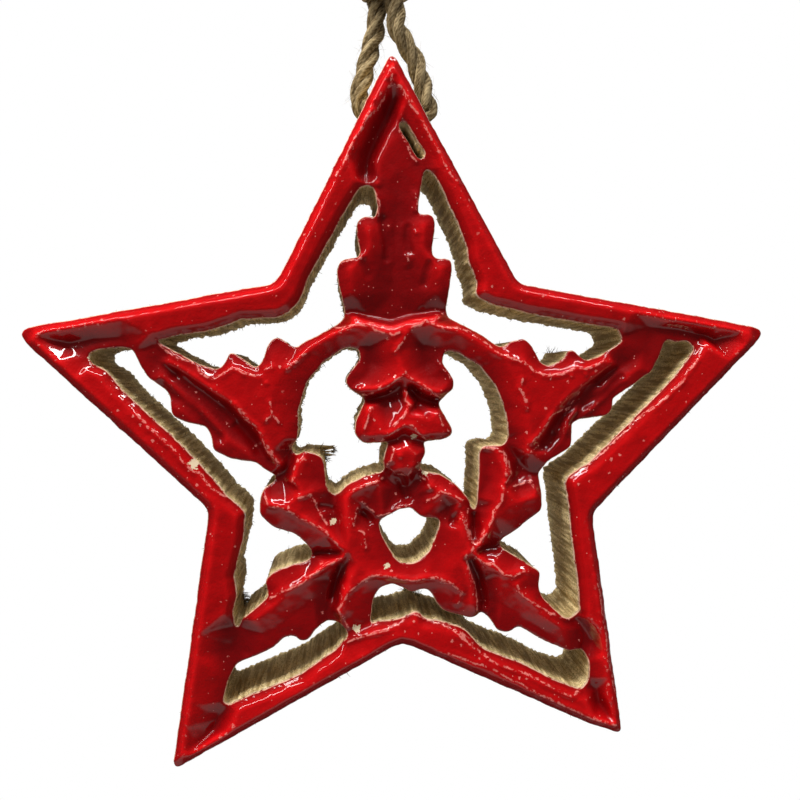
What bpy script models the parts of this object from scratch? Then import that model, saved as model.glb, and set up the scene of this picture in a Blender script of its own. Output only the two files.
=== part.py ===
"""Wooden star ornament: a fretted, carved and enamelled board that hangs on a jute cord.

The world origin is inside the top of the hanging loop, where a nail or hook bears. +X is to the
right, +Z is up, and the carved face looks along -Y. The drawing below is in millimetres, with x to
the right, z up and depth measured back from the plane of the board's front.
"""

from math import ceil, pi, radians, sin, tan

import bmesh
import bpy
from mathutils import Matrix, Vector
from mathutils.geometry import delaunay_2d_cdt

MM = 0.001

# Board and enamel, in millimetres; the width is across the side points before they are rounded
STAR_WIDTH = 186.0
BOARD_THICK = 25.4
COAT_THICK = 0.5
COAT_GAP = 0.3
OUTER_EDGE_DEPTH = 2.2
OPENING_EDGE_DEPTH = 2.6
CROWN_DEPTH = 0.4
CROWN_INSET = 1.8
LIP_DEPTH = 0.8
LIP_INSET = 1.6
SAW_RADIUS = 1.5
SLOT_WIDTH = 1.5
DIP_SIDE = 0.5

# Cord and its hole, in millimetres
CORD_DIAMETER = 5.0
HOLE_PLAY = 0.5
HOLE_BELOW_TIP = 11.8
HOLE_SETBACK = 0.75
CUTTER_LENGTH = 40.0
SEAT_GAP = 0.3
KNOT_HEIGHT = 14.0
KNOT_END_RADIUS = 5.4
KNOT_SWELL = 1.4
KNOT_WRAP_SWELL = 0.8
KNOT_WRAPS = 3
LOOP_RISE = 25.0

# Fineness of the meshes
EDGE_STEP = 6.0
CURVE_STEP = radians(45)
SLIGHT_TURN = radians(12)
CORNER_SHARE = 0.45
MERGE = 0.001
CORD_STEP = 2.4
CORD_RESOLUTION = 3
ROUTE_STEPS = 8
HOLE_SIDES = 32
KNOT_SIDES = 24
KNOT_RINGS = 18
SHARP_ANGLE = radians(35)
KNOT_SHARP_ANGLE = radians(60)

# The star's sawn outline: x, z and the radius of each corner
STAR = [
    (-0.1, 96.3, 1.2), (-28.1, 39.1, 4.5), (-90, 27.5, 2.1), (-44.1, -15.6, 4), (-53, -78.3, 1),
    (2.5, -48.6, 5), (49.5, -70.4, 0.5), (57.9, -73.3, 0.5), (50.1, -17.7, 4), (96, 28.5, 2),
    (31.4, 39.5, 4),
]

# The fretsawn openings, each with the stretch of its corners that borders the frame
UPPER_LEFT = [
    (-5.5, 64), (-8, 62.9), (-12.3, 56), (-16.2, 48.9), (-20.6, 40.4), (-22.8, 35), (-25, 32.5),
    (-28, 31), (-36.5, 30.6), (-40, 29.3), (-44.5, 27.7), (-51.5, 26.7), (-56.4, 25.4),
    (-56.4, 24.9), (-53, 22.8), (-46.3, 19.3), (-42.4, 18), (-40.2, 19.8), (-39.4, 22.8),
    (-35.9, 20.5), (-32.9, 18.3), (-31.3, 20.5), (-30, 24.5), (-28, 26.3), (-26.5, 25.3),
    (-23.5, 23), (-21.5, 24.8), (-17.5, 26.8), (-12.5, 29.8), (-11.2, 31.7), (-13, 39),
    (-13.5, 43), (-12, 45.2), (-8.1, 45.7), (-7.6, 46.7), (-8.6, 51), (-8.6, 54.5), (-6.5, 56.1),
    (-4.6, 55.3), (-3.9, 55.8), (-3.4, 58), (-4.1, 62.8),
]
UPPER_RIGHT = [
    (8.5, 68), (10.5, 66.5), (13.2, 61.4), (16.2, 54.9), (18.7, 48.9), (19.2, 45), (21.3, 40),
    (20.7, 36.5), (25, 34.6), (34.5, 32.3), (47, 30.2), (57, 28.7), (58.7, 25.5), (51.8, 21.3),
    (48.5, 20.3), (44.8, 23.6), (43.5, 21.1), (39.5, 19), (37, 20), (35, 24), (33, 26),
    (29.8, 25.2), (27.2, 23.5), (22, 26.9), (15.8, 30), (13.9, 31.2), (13.4, 33.7), (14.8, 43),
    (14.7, 45.7), (11, 45.4), (9.7, 46.4), (9.8, 49), (10.7, 54.7), (9.8, 56.6), (6.6, 56.4),
    (6.2, 57.5), (7.2, 64), (7.6, 67),
]
LOWER_LEFT = [
    (-72.8, 22.3), (-70.5, 23.3), (-65, 23.7), (-62.2, 23.3), (-61.3, 21), (-58.8, 16.4),
    (-54.3, 13.3), (-53.3, 11), (-53.2, 7.2), (-49.7, 5.7), (-45.2, 4.7), (-43.6, 2),
    (-43.3, -1.1), (-39.3, -3.2), (-33, -4.2), (-31.5, -5.6), (-28.5, -7.2), (-28.3, -9.1),
    (-31, -10.6), (-32, -12.5), (-32, -17.1), (-28.8, -20.1), (-24, -21.5), (-20.5, -24.5),
    (-19.5, -27), (-20.1, -28.7), (-23.5, -29.3), (-28.7, -30.9), (-30.8, -33), (-29.9, -37),
    (-36.8, -42.8), (-37.3, -45.1), (-38.5, -44.8), (-38.8, -40.5), (-37.8, -36.5),
    (-38.6, -31.5), (-37.7, -28), (-36.3, -23), (-35.8, -16.3), (-40.2, -12.2), (-44.7, -6.9),
    (-51.1, 0.3), (-58.1, 6.8), (-64.5, 12.9), (-69, 18.4), (-71.5, 19.2), (-73, 20.5),
]
LOWER_RIGHT = [
    (68.9, 25), (69.7, 26.1), (72, 25.2), (74.7, 25.9), (77.5, 24.1), (73.7, 18.9), (69, 13.7),
    (57.5, 2.5), (52.3, -2.4), (49.8, -4.9), (44, -8.5), (43.5, -10), (44.6, -16.5),
    (45.4, -25.5), (46.7, -33), (47.4, -42.7), (45.5, -44.5), (43, -43.9), (37.6, -38.9),
    (36.6, -36), (37.2, -32.4), (27, -26.1), (27.3, -24.2), (34, -19.2), (37.4, -16.7),
    (37.4, -13), (36.8, -8), (38.7, -4.7), (44.7, -1.2), (45.2, 1), (45.2, 5.1), (47.5, 6),
    (54.6, 6.8), (55.7, 9), (55.6, 11.2), (61.5, 15), (63.6, 16.8), (65.5, 17.7), (67.3, 21),
]
FOOT_LEFT = [
    (-41.3, -62.8), (-40, -57), (-38.4, -53.8), (-32.5, -50.9), (-29.1, -49.4), (-26.4, -46.9),
    (-24, -46.4), (-22, -48.5), (-20, -47.2), (-18.9, -45.2), (-16, -43.6), (-12.4, -44),
    (-10.2, -46.9), (-13.6, -50.3), (-18.9, -53.7), (-22.5, -56.4), (-31.5, -59.9),
    (-38, -62.3), (-39.5, -63.4),
]
FOOT_RIGHT = [
    (-5.4, -44.2), (-5.1, -42), (-5, -38.5), (-3, -35.2), (0, -34.2), (3, -35.5), (5, -37),
    (7, -35.8), (9.6, -36.1), (11, -39.1), (13, -41.6), (17, -42.6), (20, -43.4), (22.5, -42.2),
    (24.5, -43.7), (26.5, -46.8), (29, -47.3), (31.5, -45.6), (38.5, -49.6), (44.5, -52.2),
    (48, -52.1), (49.7, -54.5), (49.9, -60), (47.8, -62.3), (41, -59.6), (32, -55), (22.5, -51),
    (20.5, -49), (17.3, -45.7), (12, -43.9), (8, -43.4), (5.9, -40.9), (4, -42.3), (0.5, -43.5),
    (-4.4, -44),
]
HEART_LEFT = [
    (-10, 24), (-8, 23.5), (-7.4, 21), (-11.4, 16), (-11, 14), (-6.2, 11), (-8.8, 5.8),
    (-9, 2.5), (-7, 0.3), (-3, 0.4), (-0.6, 0.9), (-1.3, -1.4), (-2, -4.5), (-1.5, -7),
    (-6.5, -8), (-11, -10), (-14, -13.2), (-16, -11), (-17, -3.2), (-21.5, -1.6), (-23.5, -3),
    (-25, -1), (-23.1, 1.5), (-23.1, 8), (-21.1, 15), (-17, 20.2), (-12.5, 23.2),
]
HEART_RIGHT = [
    (13, 23.3), (16.5, 22.7), (22.1, 19.2), (26, 14.5), (28.4, 8.5), (29.4, 1.5), (28.3, -0.8),
    (22, -0.7), (21.5, -13.5), (21, -17), (20, -16.5), (19, -14), (15.5, -10.1), (12, -7.6),
    (7, -7), (7, -4.5), (8.4, -2), (7.4, 0.6), (12.5, 1.1), (15, 2.2), (14.6, 4), (12, 8.5),
    (11.5, 10.5), (15.2, 13.5), (15.2, 15.6), (12.2, 20),
]
RING_HOLE = [
    (-3.5, -19.5), (-2.4, -18.1), (1.5, -16.2), (4.5, -15.6), (7.5, -18.2), (12.4, -18.5),
    (11.5, -22), (9.5, -26.5), (6, -29.7), (2.1, -29.7), (0.2, -27.8), (-2.3, -23),
]
TIP_SLOT = [(2.8, 78.2), (7.1, 71.3)]
OPENINGS = [
    (UPPER_LEFT, (1, 12)), (UPPER_RIGHT, (1, 11)), (LOWER_LEFT, (33, 45)),
    (LOWER_RIGHT, (4, 15)), (FOOT_LEFT, (13, 17)), (FOOT_RIGHT, (23, 34)),
    (HEART_LEFT, None), (HEART_RIGHT, None), (RING_HOLE, None),
]

# The carver's lines on the front: x, z and depth of the enamel below the front plane
TOP_ARM_LINES = [
    [(0.5, 85.5, 2.5), (-1, 82, 4.0), (-3.5, 77, 4.4), (-5.5, 72, 4.4), (-6.5, 67, 4.0)],
    [(1.5, 79.5, 2.0), (-1.5, 74.5, 2.0), (-4, 69.5, 2.1), (-3, 65, 2.3)],
    [(2.5, 68.5, 2.6), (1.5, 62.5, 3.0), (1, 54, 3.6), (0.5, 45.5, 4.0), (0.5, 37, 4.7)],
    [(-6, 52.5, 1.4), (-5.5, 48.5, 1.6), (-10, 43, 1.3), (-10, 37, 2.0)],
    [(7.8, 53.5, 1.5), (7.5, 48.5, 1.8), (12, 43, 1.4), (11, 37.5, 2.2)],
    [(-10, 32.5, 4.4), (-5, 31.5, 4.9), (0, 30.5, 5.2), (5, 32, 4.9), (11.5, 33, 4.4)],
    [(-9.5, 31, 1.6), (-5, 29.5, 1.1), (0, 28.5, 1.0), (5, 30.2, 1.1), (11.5, 31.3, 1.6)],
]
LEFT_LEAF_LINES = [
    [(-56.5, 20, 3.0), (-51.5, 16.5, 3.8), (-46.5, 12.5, 4.3), (-41.5, 8.5, 4.6),
     (-36.5, 4, 4.5), (-33, 0, 4.1), (-30.5, -4, 3.6)],
    [(-53.5, 20, 1.5), (-48.5, 17, 1.3), (-43.5, 13.5, 1.0), (-38.5, 10.5, 0.8),
     (-35.5, 7, 0.8), (-32.5, 4.5, 0.8), (-31, 1, 0.9), (-29.5, -2, 1.2), (-27.3, -5, 1.8)],
    [(-42, 15.5, 1.1), (-38.5, 18.5, 1.0), (-36, 17.5, 1.0), (-32.5, 15.5, 1.0),
     (-30.5, 17.5, 1.0), (-29, 19, 1.0)],
    [(-55, 16, 1.9), (-50, 11, 1.6), (-46, 8, 1.8), (-40, 1.5, 2.0), (-35.5, -1.5, 2.3)],
]
RIGHT_LEAF_LINES = [
    [(64, 23, 3.0), (58, 19, 3.7), (52, 15, 4.3), (47, 10.5, 4.6), (42.5, 5, 4.6),
     (39, -1, 4.2)],
    [(55, 20, 1.4), (49.5, 16, 1.2), (44.5, 12.5, 0.9), (40, 8, 0.8), (38, 4.5, 0.8),
     (35.5, 1.5, 0.9), (33.5, -2, 1.2)],
    [(32, 20, 0.9), (35.5, 17, 1.0), (39, 16.5, 1.0), (43, 17.5, 1.0), (47, 18.5, 1.0),
     (52.5, 20.3, 1.0)],
    [(62, 18.5, 2.0), (54, 13.5, 2.0), (49.3, 8.3, 2.0), (45.6, 7.6, 2.0), (43.8, 4, 2.0),
     (42.3, 0, 2.0), (39.5, -2.5, 2.3)],
]
ARC_LINES = [
    [(-25, 19, 1.0), (-21.5, 22.5, 0.9), (-18, 24.8, 0.8), (-14, 27.3, 0.8), (-10, 28.5, 0.8),
     (-5, 27.5, 0.9), (0, 26.5, 0.8), (5, 28.5, 0.8), (10, 29.2, 0.8), (15.5, 28, 0.8),
     (20.5, 25.5, 0.8), (24.5, 23, 0.8), (28, 21, 0.8)],
    [(-25, 19, 1.0), (-29, 14.5, 0.8), (-29.5, 10.5, 0.7), (-29, 6.5, 0.8), (-26.5, 1.5, 1.2)],
    [(28, 21, 0.8), (30, 17, 0.8), (32, 12.5, 0.7), (33.5, 8.5, 0.7), (34, 3.5, 0.8),
     (33.5, -2, 1.2)],
]
STUB_LINES = [
    [(-25, -4, 4.2), (-26, -6.8, 4.6), (-26.9, -9, 4.4)],
    [(-21.5, -3.3, 1.2), (-23, -5.5, 0.9), (-24, -8.5, 0.9), (-22, -11.5, 0.9)],
    [(-19, -5, 2.6), (-18.5, -8.5, 2.8)],
    [(31.5, -4.5, 4.2), (32.5, -7.5, 4.7), (35.2, -8, 4.4)],
    [(26, -2, 1.3), (27.5, -4.5, 0.9), (28.5, -7.5, 0.8), (27.5, -11, 0.8), (26.5, -14.5, 0.8),
     (25, -18, 0.8), (24, -21, 0.8), (21.8, -24, 0.8), (20, -27, 0.8)],
    [(24, -4.5, 2.6), (24, -10, 2.8)],
    [(26.5, -14.5, 0.8), (31, -14.5, 0.8), (35.8, -13, 1.2)],
    [(-30, -14, 1.0), (-26, -15, 0.8), (-22.5, -16.5, 0.8), (-19, -19.5, 0.8),
     (-15.5, -21.8, 0.8), (-11.5, -25.5, 0.8)],
    [(-14.5, -14.8, 3.8), (-14, -18, 3.6), (-13, -21.5, 2.4)],
    [(-18.2, -27, 4.0), (-15.5, -27, 3.6), (-13.5, -27.3, 2.4)],
    [(21, -18.7, 3.8), (20.5, -21.5, 4.0), (20.5, -24.3, 2.6)],
    [(23, -26.5, 3.0), (25.5, -25.3, 4.0)],
]
RING_LINES = [
    [(-1.5, -9, 4.4), (1.5, -11.5, 4.7), (4.5, -10.5, 4.8), (7.5, -9, 4.4)],
    [(2, -14, 4.4), (5, -13.5, 4.4)],
    [(-3.5, -9.3, 1.6), (-7.5, -10.3, 1.0), (-11, -12.5, 0.9), (-11, -17, 0.8),
     (-10.5, -22, 0.8), (-10.5, -26, 0.8), (-8.5, -29.5, 0.8), (-5, -32, 0.8), (0, -32.3, 0.9),
     (4.5, -33.5, 1.1), (8.5, -32.5, 0.9), (13, -33.5, 0.9)],
    [(-6.5, -17.5, 3.4), (-5.5, -19, 3.2)],
    [(9.5, -10, 1.6), (12.5, -12, 1.0), (16.5, -14, 0.9), (16.5, -17, 0.8), (17.5, -21, 0.8),
     (19, -25.5, 0.8), (17, -28, 0.8), (18.5, -31, 0.8), (19.5, -35, 0.9), (20, -39.5, 1.1)],
    [(14.5, -15.5, 3.2), (14.2, -17.5, 3.2)],
    [(-8.5, -29.5, 0.8), (-10.5, -33.5, 0.9), (-12, -37, 0.9), (-12.5, -40.5, 1.1)],
    [(-8, -37, 1.5), (-9, -41, 1.9)],
    [(14.5, -37, 1.5), (16.5, -39.5, 1.9)],
]
FOOT_LINES = [
    [(-11.5, -29, 2.8), (-13, -33, 4.2), (-14, -37, 4.7), (-15.5, -41, 4.6)],
    [(-12.5, -27.8, 1.0), (-16.5, -29.5, 0.8), (-20.5, -32.5, 0.8), (-25, -35.5, 0.8),
     (-28.5, -38.5, 1.1), (-33.5, -42, 1.4)],
    [(-19.5, -38, 2.6), (-25, -42, 2.2), (-31.5, -46, 2.4)],
    [(-38, -47, 4.2), (-39, -50, 4.4), (-37, -51, 4.0)],
    [(19.5, -29.5, 2.8), (22, -34.5, 4.4), (23.5, -39.5, 4.7)],
    [(20.8, -27.5, 1.0), (24, -30.5, 0.8), (27, -32, 0.8), (31, -36, 0.8), (34.5, -39.5, 0.8),
     (38, -43, 1.0), (42.5, -46, 1.5)],
    [(27, -32, 0.8), (31.5, -31.5, 1.0), (34, -32, 1.2)],
    [(27, -40, 2.4), (32, -43, 2.2), (39, -47.3, 2.4)],
    [(49, -47.5, 4.2), (51, -50.5, 4.2)],
    [(5.5, -43.6, 1.1), (4.5, -44.5, 0.9), (3.5, -45.5, 0.9)],
]
FIGURE_LINES = [
    [(3, 26.5, 0.9), (1, 23, 0.8), (2, 19.5, 0.7), (3, 16.5, 0.7)],
    [(-7.5, 13.2, 1.1), (-4.5, 13.5, 0.9), (-2, 14.2, 0.8), (0.5, 15.5, 0.7), (3, 16.5, 0.7),
     (5, 15.2, 0.8), (8, 13.5, 0.9), (11.5, 12.6, 1.1)],
    [(-5.5, 24, 3.4), (-5, 20, 3.6), (-6.5, 16.5, 2.8)],
    [(8, 24, 3.8), (9, 20, 3.8), (10, 16.5, 2.8)],
    [(-4.8, 11, 4.0), (-1.5, 11.2, 4.3), (1.6, 12.6, 4.3)],
    [(5, 12.5, 4.4), (7, 10.5, 4.8), (9.8, 9.8, 4.2)],
    [(3.2, 14.5, 2.0), (3.2, 12, 1.1), (4.5, 9.5, 0.8), (3.5, 7, 0.8), (3, 4.5, 0.8)],
    [(-7.3, 2.5, 1.1), (-5, 2, 0.9), (-1.5, 2.6, 0.8), (1, 3.6, 0.8), (3, 4.5, 0.8),
     (5, 3.6, 0.8), (7.5, 2.4, 0.9), (12.8, 2.6, 1.2)],
    [(-6, 9, 1.2), (-7.3, 5, 1.2)],
    [(10.5, 7.5, 1.2), (12, 4.5, 1.2)],
    [(1, 0.7, 3.2), (3, 2, 3.0), (5.5, 1, 3.2)],
    [(0, -4, 1.4), (1.5, -1.5, 1.0), (3.5, -1, 0.9), (6, -2.5, 1.2), (4.8, -5.2, 1.2),
     (2, -6, 1.3), (0, -4, 1.4)],
]
STAR_TIP_LINES = [
    [(-81, 25, 2.6), (-77.5, 24.3, 3.8), (-72.5, 25.3, 3.4), (-65.5, 25.8, 2.8)],
    [(86, 26.5, 2.6), (82, 25.5, 3.8), (79, 27, 3.6), (72, 28.5, 3.2), (65.5, 29, 2.8)],
    [(-47, -72.5, 2.4), (-43.5, -69.5, 3.6), (-41.5, -66, 3.6)],
    [(55, -69, 2.4), (52.5, -66, 3.8), (51.5, -62.5, 3.6)],
]
CARVED_LINES = (
    TOP_ARM_LINES + LEFT_LEAF_LINES + RIGHT_LEAF_LINES + ARC_LINES + STUB_LINES + RING_LINES
    + FOOT_LINES + FIGURE_LINES + STAR_TIP_LINES
)

# Where a valley runs out over an edge: x, z, depth and reach along the edge
EDGE_DIPS = [
    (-12, 31, 4.4, 3), (13.5, 32, 4.4, 3), (-25, -1, 4.0, 2), (-28.5, -8.5, 4.4, 2),
    (37, -8, 4.4, 2), (29, 0.5, 3.8, 2), (-14, -13, 3.8, 2), (20.5, -17, 3.8, 2),
    (-19.8, -28, 4.0, 2), (27, -25, 4.0, 2), (-1.5, -7, 4.0, 1.5), (7, -6.5, 4.0, 1.5),
    (-15, -44, 4.4, 2.5), (23.5, -43, 4.4, 2.5), (-38, -44.5, 4.0, 2.5), (-37.5, -53, 4.0, 2.5),
    (46.5, -44, 4.0, 2.5), (49, -52.5, 4.0, 2.5), (-1, 0.8, 3.2, 1.5), (7.5, 0.5, 3.2, 1.5),
    (-6.8, 11, 4.0, 1.5), (11.8, 10, 4.2, 1.5),
]

# The cord's route in each leg: x, y and height from the axis of the hole
HOLE_MIDDLE = -0.1
LEFT_ROUTE = [
    (HOLE_MIDDLE - SEAT_GAP / 2, 0, 0), (-2.8, 0, 0), (-5.6, 0, 0.1), (-7.2, 0.1, 1.2),
    (-7.8, 0.2, 3.7), (-7.0, 0.3, 8.0), (-5.8, 0.6, 12.6), (-4.8, 1.1, 17.0), (-3.6, 1.7, 21.4),
    (-3.2, 2.0, 25.0), (-3.1, 2.1, 27.6), (-3.1, 2.1, 29.2),
]
RIGHT_ROUTE = [
    (HOLE_MIDDLE + SEAT_GAP / 2, 0, 0), (3.4, 0, 0), (6.4, 0, 0), (8.3, 0, -0.3),
    (9.8, -0.1, 0.4), (10.0, -0.2, 2.0), (9.2, -0.3, 4.6), (8.3, -0.5, 8.4), (7.1, -0.7, 12.4),
    (5.1, -1.1, 16.4), (2.3, -1.7, 20.8), (1.5, -2.0, 24.8), (1.4, -2.1, 27.6), (1.4, -2.1, 29.2),
]
# One side of the hanging loop: x and height from the middle of the knot's top
LOOP_SIDE = [(-2.7, 0), (-2.7, 2), (-4.4, 8.5), (-6.4, 14.5), (-6.0, 20), (-3.4, 23.8)]

SCALE = STAR_WIDTH / (max(x for x, _, _ in STAR) - min(x for x, _, _ in STAR))
HOLE_Z = STAR[0][1] * SCALE - HOLE_BELOW_TIP
CORD_RADIUS = CORD_DIAMETER / 2
HOLE_RADIUS = CORD_RADIUS + HOLE_PLAY
HOLE_DEPTH = BOARD_THICK / 2 + HOLE_SETBACK
KNOT_X = (LEFT_ROUTE[-1][0] + RIGHT_ROUTE[-1][0]) / 2
KNOT_FOOT = LEFT_ROUTE[-1][2] + SEAT_GAP
LOOP_FOOT = KNOT_FOOT + KNOT_HEIGHT + SEAT_GAP
ORIGIN_Z = HOLE_Z + LOOP_FOOT + LOOP_RISE - CORD_RADIUS


def place(x, depth, z):
    """World position of a point of the drawing."""
    return Vector(((x - KNOT_X) * MM, (depth - HOLE_DEPTH) * MM, (z - ORIGIN_Z) * MM))


def hang(x, y, height):
    """World position of a point that is given from the axis of the hole."""
    return place(x, HOLE_DEPTH + y, HOLE_Z + height)


PIVOT = hang(HOLE_MIDDLE, 0, 0)


def full_size(points):
    """Drawn points at the star's real width; their radii, depths and reaches stay as drawn."""
    return [(x * SCALE, z * SCALE, *rest) for x, z, *rest in points]


def clear_scene():
    for thing in list(bpy.data.objects):
        bpy.data.objects.remove(thing, do_unlink=True)


def make_material(name, colour, roughness, coat=0.0):
    material = bpy.data.materials.new(name)
    material.use_nodes = True
    shader = material.node_tree.nodes["Principled BSDF"]
    shader.inputs["Base Color"].default_value = (*colour, 1.0)
    shader.inputs["Roughness"].default_value = roughness
    shader.inputs["Metallic"].default_value = 0.0
    shader.inputs["Coat Weight"].default_value = coat
    material.diffuse_color = (*colour, 1.0)
    return material


def add_object(name, mesh, material, location):
    mesh.materials.append(material)
    thing = bpy.data.objects.new(name, mesh)
    thing.location = location
    bpy.context.scene.collection.objects.link(thing)
    return thing


def signed_area(corners):
    """Area of a closed outline, positive when it runs anticlockwise."""
    total = 0.0
    for here, following in zip(corners, corners[1:] + corners[:1]):
        total += here[0] * following[1] - following[0] * here[1]
    return total / 2


def inset(corners, distance):
    """The corners moved square to their edges, into the outline for a positive distance."""
    side = distance if signed_area(corners) > 0 else -distance
    moved = []
    for i, corner in enumerate(corners):
        here = Vector(corner[:2])
        arriving = (here - Vector(corners[i - 1][:2])).normalized()
        leaving = (Vector(corners[(i + 1) % len(corners)][:2]) - here).normalized()
        mitre = (arriving + leaving).orthogonal() / (1 + arriving.dot(leaving))
        moved.append(tuple(here + mitre * side) + tuple(corner[2:]))
    return moved


def divided(start, end):
    """Points from start up to but not including end, no more than one step apart."""
    count = max(1, ceil((end - start).length / EDGE_STEP))
    return [start.lerp(end, i / count) for i in range(count)]


def rounded(corners, radius):
    """A closed outline with rounded corners, each with its own radius where it has one."""
    arcs = []
    for i, corner in enumerate(corners):
        here = Vector(corner[:2])
        back = Vector(corners[i - 1][:2]) - here
        ahead = Vector(corners[(i + 1) % len(corners)][:2]) - here
        turn = pi - back.angle(ahead)
        if turn < SLIGHT_TURN:
            arcs.append([here])
            continue
        wanted = corner[2] if len(corner) > 2 else radius
        room = CORNER_SHARE * min(back.length, ahead.length)
        reach = min(wanted * tan(turn / 2), room)
        start = here + back.normalized() * reach
        end = here + ahead.normalized() * reach
        count = max(1, ceil(turn / CURVE_STEP))
        steps = [j / count for j in range(count + 1)]
        arcs.append([start.lerp(here, t).lerp(here.lerp(end, t), t) for t in steps])
    outline = []
    for arc, following in zip(arcs, arcs[1:] + arcs[:1]):
        outline += arc + divided(arc[-1], following[0])[1:]
    return outline


def slot_corners(ends, width):
    """The four corners round a straight slot."""
    start, end = Vector(ends[0]), Vector(ends[1])
    along = (end - start).normalized() * width / 2
    across = along.orthogonal()
    return [
        tuple(start - along + across), tuple(start - along - across),
        tuple(end + along - across), tuple(end + along + across),
    ]


def edge_depth(point, plain_depth):
    """Depth of the enamelled edge at a point, lower where a valley runs out over it."""
    depth = plain_depth
    for x, z, dip, reach in full_size(EDGE_DIPS):
        share = max(0.0, 1 - (point - Vector((x, z))).length / reach)
        depth = max(depth, plain_depth + (dip - plain_depth) * min(1.0, share / DIP_SIDE))
    return depth


def board_loops():
    """The outline and the openings, as loops of x, z and depth of the enamel's edge."""
    outer = rounded(full_size(STAR), SAW_RADIUS)
    loops = [[(*p, edge_depth(p, OUTER_EDGE_DEPTH)) for p in outer]]
    slot = slot_corners(full_size(TIP_SLOT), SLOT_WIDTH)
    for corners in [full_size(opening) for opening, _ in OPENINGS] + [slot]:
        outline = rounded(corners, SAW_RADIUS)
        loops.append([(*p, edge_depth(p, OPENING_EDGE_DEPTH)) for p in outline])
    return loops


def frame_lines():
    """The crown that follows the star's outline, and the lips along the frame's openings."""
    inner = rounded(inset(full_size(STAR), CROWN_INSET), SAW_RADIUS)
    crown = [(*p, CROWN_DEPTH) for p in inner]
    lines = [crown + crown[:1]]
    for corners, stretch in OPENINGS:
        if stretch:
            side = inset(full_size(corners), -LIP_INSET)[stretch[0]:stretch[1] + 1]
            lines.append([(x, z, LIP_DEPTH) for x, z in side])
    return lines


def inside(point, loop):
    """Whether a point lies in a closed loop."""
    hits = 0
    for here, following in zip(loop, loop[1:] + loop[:1]):
        if (here[1] > point[1]) != (following[1] > point[1]):
            share = (point[1] - here[1]) / (following[1] - here[1])
            hits += point[0] < here[0] + share * (following[0] - here[0])
    return hits % 2 == 1


def triangulate(loops, lines):
    """Triangles of the board's face: its points, faces and the points of each loop."""
    given = []
    edges = []
    for chain in loops + lines:
        first = len(given)
        given += chain
        edges += [(first + i, first + i + 1) for i in range(len(chain) - 1)]
        if any(chain is loop for loop in loops):
            edges.append((len(given) - 1, first))
    flat = [Vector(p[:2]) for p in given]
    found, _, faces, origins, _, _ = delaunay_2d_cdt(flat, edges, [], 0, MERGE, True)
    points = [(p.x, p.y, given[o[0]][2] if o else LIP_DEPTH) for p, o in zip(found, origins)]
    index = {old: new for new, olds in enumerate(origins) for old in olds}
    rims = []
    first = 0
    for loop in loops:
        rims.append([index[first + i] for i in range(len(loop))])
        first += len(loop)
    kept = []
    for face in faces:
        middle = sum((found[i] for i in face), Vector((0, 0))) / len(face)
        if inside(middle, loops[0]) and not any(inside(middle, hole) for hole in loops[1:]):
            kept.append(face)
    return points, kept, rims


def plate(name, front, front_depth, back, back_depth):
    """A closed plate between two faces that share their rims."""
    bm = bmesh.new()
    sides = []
    for (points, faces, rims), depth_of in ((front, front_depth), (back, back_depth)):
        used = sorted({i for face in faces for i in face})
        verts = {}
        for i in used:
            x, z, depth = points[i]
            verts[i] = bm.verts.new(place(x, depth_of(depth), z) - PIVOT)
        for face in faces:
            bm.faces.new([verts[i] for i in face])
        sides.append([[verts[i] for i in rim] for rim in rims])
    for front_rim, back_rim in zip(*sides):
        for i in range(len(front_rim)):
            bm.faces.new((front_rim[i - 1], front_rim[i], back_rim[i], back_rim[i - 1]))
    bmesh.ops.recalc_face_normals(bm, faces=bm.faces)
    mesh = bpy.data.meshes.new(name)
    bm.to_mesh(mesh)
    bm.free()
    mesh.shade_smooth()
    mesh.set_sharp_from_angle(angle=SHARP_ANGLE)
    return mesh


def make_hole_cutter():
    """The drill that runs sideways through the top arm."""
    bm = bmesh.new()
    turn = Matrix.Rotation(pi / 2, 4, "Y")
    bmesh.ops.create_cone(
        bm, cap_ends=True, segments=HOLE_SIDES, radius1=HOLE_RADIUS * MM,
        radius2=HOLE_RADIUS * MM, depth=CUTTER_LENGTH * MM, matrix=turn,
    )
    mesh = bpy.data.meshes.new("hole_cutter")
    bm.to_mesh(mesh)
    bm.free()
    cutter = bpy.data.objects.new("hole_cutter", mesh)
    cutter.location = PIVOT
    cutter.hide_render = True
    cutter.display_type = "WIRE"
    bpy.context.scene.collection.objects.link(cutter)
    return cutter


def make_star():
    """The carved board, drilled for the cord, and the enamel that covers its front."""
    loops = board_loops()
    carved = triangulate(loops, frame_lines() + [full_size(line) for line in CARVED_LINES])
    flat = triangulate(loops, [])
    under = COAT_THICK + COAT_GAP
    board = plate(
        "star_board", carved, lambda depth: depth + under, flat, lambda depth: BOARD_THICK
    )
    wood = make_material("raw_wood", (0.42, 0.31, 0.17), 0.75)
    board_object = add_object("star_board", board, wood, PIVOT)
    drill = board_object.modifiers.new("cord_hole", "BOOLEAN")
    drill.operation = "DIFFERENCE"
    drill.solver = "EXACT"
    drill.object = make_hole_cutter()
    coat = plate(
        "enamel_coat", carved, lambda depth: depth, carved, lambda depth: depth + COAT_THICK
    )
    enamel = make_material("red_enamel", (0.52, 0.004, 0.008), 0.12, coat=1.0)
    add_object("enamel_coat", coat, enamel, PIVOT)


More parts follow.
